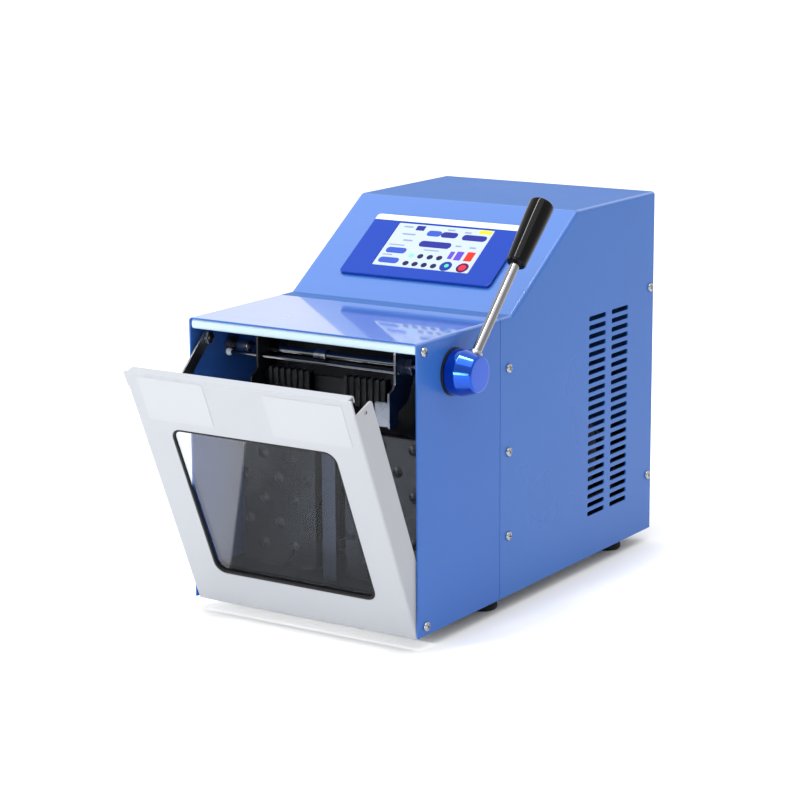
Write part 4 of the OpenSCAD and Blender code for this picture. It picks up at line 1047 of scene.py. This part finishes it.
def buildStayPivot(bm):
    s = stay
    place = shift(0, stayJoint.y, stayJoint.z)
    addLathe(bm, place @ alongX, rodProfile(s["pivotR"], s["pivotLeft"], s["pivotRight"], 0.3), 24)
    addPlate(bm, place @ sideView, rounded(circle(0, 0, s["nut"], 6), 0.6, 3),
             [circle(0, 0, s["nutHole"], 24)], s["nutLeft"], s["nutRight"], 0.4)


piece("stayPivot", buildStayPivot, "root", "zincSteel", ["stay_pivot"])

# lever and bag clamp
lever = dict(x=122.5, tilt=44.3, hubX=112.2, hubR=18.5, hubLength=22.5, hubEnd=14.5, straight=9,
             rodR=4, rodIn=8, rodInGrip=20, gripStart=105.5, gripLength=61, gripLow=8.4, gripHigh=10.3,
             shaftR=3.5, shaftLeft=-110, shaftRight=128)
shaftPlace = shift(0, leverPivot.y, leverPivot.z)
leverPlace = shift(lever["x"], leverPivot.y, leverPivot.z) @ spin("X", -lever["tilt"])


def buildHub(bm):
    v = lever
    points = [(0, 0), (v["hubR"] - 0.4, 0), (v["hubR"], 0.4), (v["hubR"], v["straight"]),
              (v["hubEnd"], v["hubLength"]), (0, v["hubLength"])]
    profile = turnedProfile(points, [0, 0, 0, 0.5, 1.8, 0], 5)
    addLathe(bm, shift(v["hubX"], leverPivot.y, leverPivot.z) @ alongX, profile, 96)


piece("leverHub", buildHub, "lever", "anodisedBlue", ["lever_hub"], 28)


washer = dict(hole=7.1, r=19.2, thick=1.8)


def buildWasher(bm):
    hole, r, thick = washer["hole"], washer["r"], washer["thick"]
    profile = turnedProfile([(hole, 0), (r, 0), (r, thick), (hole, thick)], [0, 0.1, 0.5, 0], 3)
    addLathe(bm, shift(body["halfWidth"], leverPivot.y, leverPivot.z) @ alongX, profile, 72)


piece("hubWasher", buildWasher, "root", "blackPlastic", ["hub_washer"])


def buildRod(bm):
    v = lever
    addLathe(bm, leverPlace, rodProfile(v["rodR"], v["rodIn"], v["gripStart"] + v["rodInGrip"]), 40)


piece("leverRod", buildRod, "lever", "polishedSteel", ["lever_rod"])


def buildRodCollar(bm):
    # the small turned ring where the rod screws into the hub
    foot = lever["hubR"] - 1.5
    points = [(4.02, foot), (5.6, foot), (5.6, foot + 2.6), (4.02, foot + 3.4)]
    addLathe(bm, leverPlace, turnedProfile(points, [0, 0.1, 0.5, 0], 3), 40)


piece("rodCollar", buildRodCollar, "lever", "zincSteel")


def buildGrip(bm):
    v = lever
    a, b = v["gripStart"], v["gripStart"] + v["gripLength"]
    points = [(0, a), (v["gripLow"] - 1.2, a), (v["gripLow"], a + 1.2), (v["gripLow"] + 0.5, a + 12),
              (v["gripHigh"] - 0.1, b - 14), (v["gripHigh"], b - 7), (v["gripHigh"], b), (0, b)]
    profile = turnedProfile(points, [0, 0.8, 1.0, 4, 5, 3, 2.6, 0], 7)
    addLathe(bm, leverPlace, profile, 64)


piece("leverGrip", buildGrip, "lever", "gripBlack", ["lever_grip"], 40)


def buildShaft(bm):
    v = lever
    addLathe(bm, shaftPlace @ alongX, rodProfile(v["shaftR"], v["shaftLeft"], v["shaftRight"]), 32)


piece("leverShaft", buildShaft, "lever", "polishedSteel", ["lever_shaft"])

collars = dict(places=(-92.7, -15.1), r=5.2, bore=3.56, length=11)


def buildCollars(bm):
    r, bore, half = collars["r"], collars["bore"], collars["length"] / 2
    setScrew = [(0, 3.9), (1.3, 3.9), (1.5, 4.6), (1.3, r + 0.25), (0.7, r + 0.3), (0.6, r - 0.6),
                (0, r - 0.6)]
    for x in collars["places"]:
        points = [(bore, x - half), (r, x - half), (r, x + half), (bore, x + half)]
        addLathe(bm, shaftPlace @ alongX, turnedProfile(points, [0, 0.6, 0.6, 0], 3), 36)
        addLathe(bm, shift(x, leverPivot.y, leverPivot.z) @ spin("X", 90), setScrew, 16)


piece("shaftCollars", buildCollars, "lever", "zincSteel", ["shaft_collars"])

arm = dict(x=66, thick=2, drop=47, front=27.6, rodHole=(-13.6, -3.5, 1.8), tabIn=12, tabLap=0.5,
           tabRise=2, tabHeight=20)


def armOutline():
    # y ahead is negative, from the lever shaft's middle
    d, f = arm["drop"], arm["front"]
    points = [(-18.6, 15), (-18.6, -12), (-22, -16), (-f, -18), (-f, -d), (-f + 9, -d),
              (-f + 12, -d + 4), (-f + 13, -35), (0, -28), (8, -12), (13.5, -3), (12, 10), (4, 15)]
    return rounded(points, [3, 2, 2, 2, 2.5, 2, 2, 3, 8, 6, 6, 8, 6], 5)


def buildArm(bm, sign):
    a = arm
    low = a["x"] if sign > 0 else -a["x"] - a["thick"]
    holes = [circle(0, 0, lever["shaftR"] + 0.05, 28), circle(*a["rodHole"], 20)]
    addPlate(bm, shaftPlace @ sideView, armOutline(), holes, low, low + a["thick"], 0.3)
    y, z = leverPivot.y - a["front"], leverPivot.z - a["drop"] + a["tabRise"]
    x0, x1 = sorted((sign * (a["x"] - a["tabIn"]), sign * (a["x"] + a["tabLap"])))
    tab = roundRect(x0, z, x1, z + a["tabHeight"], 2, 4)
    addPlate(bm, frontView, tab, [], -(y + a["thick"]), -y, 0.3)


piece("clampArmRight", lambda bm: buildArm(bm, 1), "lever", "sheetSteel", ["clamp_arms"])
# the left arm is the same steel part as the right one; its black finish is painted shade
piece("clampArmLeftShaded", lambda bm: buildArm(bm, -1), "lever", "blackPlastic")


bar = dict(half=65.9, ahead=8.6, drop=29, thick=3, height=14)


def buildBar(bm):
    x, y, z = bar["half"], leverPivot.y - bar["ahead"], leverPivot.z - bar["drop"]
    addBox(bm, Matrix(), (-x, y, z), (x, y + bar["thick"], z + bar["height"]), 0.5)


piece("clampBar", buildBar, "lever", "blackPlastic", ["clamp_bar"])

pads = dict(x=17, width=40, thick=6.5, ribs=7, ribWidth=3.4, ribThick=1.6, drop=34, height=22)


def buildPads(bm):
    p = pads
    back, low = leverPivot.y - bar["ahead"], leverPivot.z - p["drop"]
    pitch, r = (p["width"] - p["ribWidth"]) / (p["ribs"] - 1), p["ribWidth"] / 2
    for sign in (-1, 1):
        x0, x1 = sorted((sign * p["x"], sign * (p["x"] + p["width"])))
        addBox(bm, Matrix(), (x0, back - p["thick"], low), (x1, back, low + p["height"]), 0.6)
        for i in range(p["ribs"]):
            x = x0 + i * pitch
            outline = [(x, low), (x + 2 * r, low)] + arc(x + r, low + p["height"], r, 0, 180, 8)
            addPlate(bm, frontView, outline, [], -back, -(back - p["thick"] - p["ribThick"]), 0.6, 3)


piece("clampPads", buildPads, "lever", "blackPlastic", ["clamp_pads"])

bagRod = dict(r=1.75, y=39, z=213.5, left=-99, right=69, ball=3.2)


def buildBagRod(bm):
    b = bagRod
    addLathe(bm, shift(0, b["y"], b["z"]) @ alongX, rodProfile(b["r"], b["left"], b["right"], 0.3), 24)


piece("bagRod", buildBagRod, "lever", "polishedSteel", ["bag_rod"])


def buildBall(bm):
    b, r = bagRod, bagRod["ball"]
    profile = [(r * math.sin(a), -r * math.cos(a)) for a in (math.pi * k / 14 for k in range(15))]
    profile[0], profile[-1] = (0, -r), (0, r)
    addLathe(bm, shift(b["left"], b["y"], b["z"]) @ alongX, profile, 28)


piece("bagRodBall", buildBall, "lever", "whitePlastic", (), 60)


nuts = dict(r=7.5, bore=3.56, near=68, far=74)


def buildNuts(bm):
    outline, bore = rounded(circle(0, 0, nuts["r"], 6), 0.8, 3), circle(0, 0, nuts["bore"], 24)
    for sign in (-1, 1):
        low, high = sorted((sign * nuts["near"], sign * nuts["far"]))
        addPlate(bm, shaftPlace @ sideView, outline, [bore], low, high, 0.6, 3)


piece("armNuts", buildNuts, "lever", "zincSteel", ["arm_nuts"])
print("lever and clamp made")

# paddles with staggered domes
paddle = dict(x=51, width=73, low=38, height=123, front=40, thick=10, corner=6, domeR=4.5, domeHigh=2.6,
              pitchX=15, pitchZ=38.3, firstDome=56)


def buildPaddle(bm, sign):
    p = paddle
    x0, x1 = sign * p["x"] - p["width"] / 2, sign * p["x"] + p["width"] / 2
    outline = roundRect(x0, p["low"], x1, p["low"] + p["height"], p["corner"], 8)
    addPlate(bm, frontView, outline, [], -(p["front"] + p["thick"]), -p["front"], 1.2, 4)
    r, high = p["domeR"] * 1.25, p["domeHigh"]
    dome = [(0, high)] + [(r * t, high * (math.cos(math.pi * t) + 1) / 2 - 0.02)
                          for t in (k / 10 for k in range(1, 11))] + [(r, -0.6), (0, -0.6)]
    for column in range(-2, 3):
        first = p["firstDome"] + (p["pitchZ"] / 2 if column % 2 == 0 else 0)
        for row in range(3):
            place = shift(sign * p["x"] + column * p["pitchX"], p["front"], first + row * p["pitchZ"])
            addLathe(bm, place @ spin("X", 90), dome, 32)


piece("paddleLeft", lambda bm: buildPaddle(bm, -1), "left_paddle", "paddleBlack",
      ["paddle_left"])
piece("paddleRight", lambda bm: buildPaddle(bm, 1), "right_paddle", "paddleBlack",
      ["paddle_right"])
print("paddles made")

# rear: fan guard, inlet and switch
guard = dict(y=389.5, thick=2, step=9, rings=4, spokeR=0.95, eyeR=4.9, eyeHole=2.1)


def buildGuard(bm):
    g, z = guard, rearPanel["fanZ"]
    middle = shift(0, g["y"] + g["thick"] / 2, z)
    reach = rearPanel["screwReach"] * math.sqrt(2)
    for k in range(1, g["rings"] + 1):
        r = g["step"] * k + 1
        ring = [(r + math.cos(a), math.sin(a) * 0.98) for a in (2 * math.pi * i / 12 for i in range(12))]
        addLathe(bm, middle @ alongBack, ring, 72)
    hole, r, thick = g["eyeHole"], g["eyeR"], g["thick"]
    eyeProfile = turnedProfile([(hole, 0), (r, 0), (r, thick), (hole, thick)], [0, 0.3, 0.5, 0], 3)
    for turn in range(45, 360, 90):
        spoke = rodProfile(g["spokeR"], g["step"], reach - 3.5, 0.3)
        addLathe(bm, middle @ spin("Y", turn) @ alongX, spoke, 14)
        eye = shift(0, g["y"], z) @ spin("Y", turn) @ shift(reach, 0, 0) @ alongBack
        addLathe(bm, eye, eyeProfile, 32)


piece("fanGuard", buildGuard, "root", "polishedSteel", ["fan_guard"])


inlet = dict(flange=(24, 12), corner=3, steps=5, body=(13.9, 9.9), depth=20, end=26,
             mouth=((-12, -8), (12, -8), (12, 3), (7, 8), (-7, 8), (-12, 3)),
             pins=((-7, -2), (0, 3), (7, -2)), pinHalf=(1, 2), pinFront=369, pinEnd=382.5)
rockerFrame = dict(flange=(12.5, 16.5), corner=2, steps=4, body=(10.9, 14.9), depth=16, end=24,
                   hole=(8.6, 12.8))


def addPanelSocket(bm, s, z, hole):
    # a flange on the panel's outer face, a hollow body behind it, and its closed end
    x, face, (w, h) = rearPanel["inletX"], rearPanel["y"] + rearPanel["thick"], s["body"]
    end = face - s["depth"]
    flange = aroundPoint(x, z, s["flange"], s["corner"], s["steps"])
    addPlate(bm, frontView, flange, [hole], -(face + 2), -face, 0.5, 3)
    addPlate(bm, frontView, aroundPoint(x, z, s["body"], 0.6), [hole], -face, -end, 0.1, 1)
    addBox(bm, Matrix(), (x - w, face - s["end"], z - h), (x + w, end, z + h), 0.3)


def buildInlet(bm):
    x, z = rearPanel["inletX"], rearPanel["inletZ"]
    mouth = rounded([(x + dx, z + dz) for dx, dz in inlet["mouth"]], 1.2, 3)
    addPanelSocket(bm, inlet, z, mouth)


def buildInletPins(bm):
    n, (w, h) = inlet, inlet["pinHalf"]
    for dx, dz in n["pins"]:
        x, z = rearPanel["inletX"] + dx, rearPanel["inletZ"] + dz
        addBox(bm, Matrix(), (x - w, n["pinFront"], z - h), (x + w, n["pinEnd"], z + h), 0.5)


piece("mainsInlet", buildInlet, "root", "blackPlastic", ["inlet_socket"])
piece("inletPins", buildInletPins, "root", "sheetSteel")


def buildSwitchFrame(bm):
    x, z = rearPanel["inletX"], rearPanel["switchZ"]
    addPanelSocket(bm, rockerFrame, z, aroundPoint(x, z, rockerFrame["hole"], 0.8, 3))


piece("switchFrame", buildSwitchFrame, "root", "blackPlastic", ["switch_frame"])

rockerPivot = inHousing(joints["rocker_tip"]["pos_m"])
rockerKey = dict(face=8.6, dip=2, back=-3, half=11, width=17, tip=-8)


def buildRocker(bm):
    k, x, half = rockerKey, rearPanel["inletX"], rockerKey["half"]
    steps = [i / 8 for i in range(-8, 9)]
    outline = [(k["face"] - k["dip"] * (1 - abs(t)) ** 1.2, half * t) for t in steps]
    outline += [(k["back"], half), (k["back"], -half)]
    place = shift(0, rockerPivot.y, rockerPivot.z) @ spin("X", k["tip"]) @ sideView
    addPlate(bm, place, outline, [], x - k["width"] / 2, x + k["width"] / 2, 0.5, 3)


piece("rockerKey", buildRocker, "switch", "redPlastic", ["rocker"])
print("rear made")

# nodes that keep their own shape
nodeFinish = dict(
    base_plate="sheetSteel", display_board="boardGreen", hinge_pins="polishedSteel",
    shaft_bushes="machinedAlloy", electronics_shelf="sheetSteel", power_supply="machinedAlloy",
    motor_controller="machinedAlloy", drive_frame="shadedSteel", rod_bushes="bronze",
    rod_wipers="rubberBlack", bearing_blocks="shadedSteel", shaft_bearings="shadedSteel",
    motor_body="motorPaint", motor_mount="shadedSteel", drive_belt="rubberBlack", fan_frame="blackPlastic",
    push_rods_left="polishedSteel", push_rods_right="polishedSteel",
    con_rod_left="machinedAlloy", con_rod_right="machinedAlloy", crank_shaft="shadedSteel",
    motor_rotor="shadedSteel", fan_rotor="blackPlastic",
)
for nodeName, finish in nodeFinish.items():
    mesh = nodes[nodeName].data
    mesh.materials.clear()
    mesh.materials.append(finishes[finish])
print("frame nodes dressed:", len(nodeFinish))


# studio
def stageMaterial():
    mat = bpy.data.materials.new("paleFloor")
    mat.use_nodes = True
    shader = mat.node_tree.nodes["Principled BSDF"]
    shader.inputs["Base Color"].default_value = (0.96, 0.96, 0.96, 1)
    shader.inputs["Roughness"].default_value = 0.75
    return mat


def addLight(name, place, aim, size, power):
    data = bpy.data.lights.new(name, "AREA")
    data.shape, data.size, data.size_y = "RECTANGLE", size[0], size[1]
    data.energy = power
    lamp = bpy.data.objects.new(name, data)
    bpy.context.scene.collection.objects.link(lamp)
    lamp.visible_transmission = False  # the pane's see-through shadow already lets it in
    lamp.location = place
    lamp.rotation_euler = (Vector(aim) - Vector(place)).to_track_quat("-Z", "Y").to_euler()


studio = dict(
    floorSize=60, skyLow=0.5, skyHigh=1.25, skyAim=(-0.5, 0.75, 0.43), sunPower=1.0, sunAngle=50,
    sunAim=(-0.2, 0.3, -1),
    top=dict(place=(-0.1, -0.35, 1.7), aim=(0, 0, 0.2), size=(0.12, 0.9), power=13),
    left=dict(place=(-1.9, -0.7, 0.9), aim=(0, 0, 0.2), size=(0.7, 1.2), power=12),
    front=dict(place=(-0.25, -1.8, 0.35), aim=(0, -0.1, 0.1), size=(0.9, 0.35), power=16),
)
floorMesh = bpy.data.meshes.new("floor")
reach = studio["floorSize"] / 2
floorCorners = [(-reach, -reach, 0), (reach, -reach, 0), (reach, reach, 0), (-reach, reach, 0)]
floorMesh.from_pydata(floorCorners, [], [(0, 1, 2, 3)])
floorMesh.materials.append(stageMaterial())
floor = bpy.data.objects.new("floor", floorMesh)
bpy.context.scene.collection.objects.link(floor)
for lampName in ("top", "left", "front"):
    addLight(lampName + "Lamp", **studio[lampName])
sunData = bpy.data.lights.new("softSun", "SUN")
sunData.energy, sunData.angle = studio["sunPower"], math.radians(studio["sunAngle"])
sun = bpy.data.objects.new("softSun", sunData)
sun.visible_transmission = False
sun.rotation_euler = Vector(studio["sunAim"]).to_track_quat("-Z", "Y").to_euler()
bpy.context.scene.collection.objects.link(sun)
world = bpy.data.worlds.new("studioWorld")
world.use_nodes = True
# the sky is brightest behind and above, and dimmer behind the camera
sky = world.node_tree
facing = vectorNode(sky, "DOT_PRODUCT", coordinates(sky, "Generated"), studio["skyAim"])
skyTone = spanNode(sky, facing, -1.0, 1.0, studio["skyLow"], studio["skyHigh"])
link(sky, skyTone, sky.nodes["Background"].inputs["Color"])
bpy.context.scene.world = world
print("studio made")
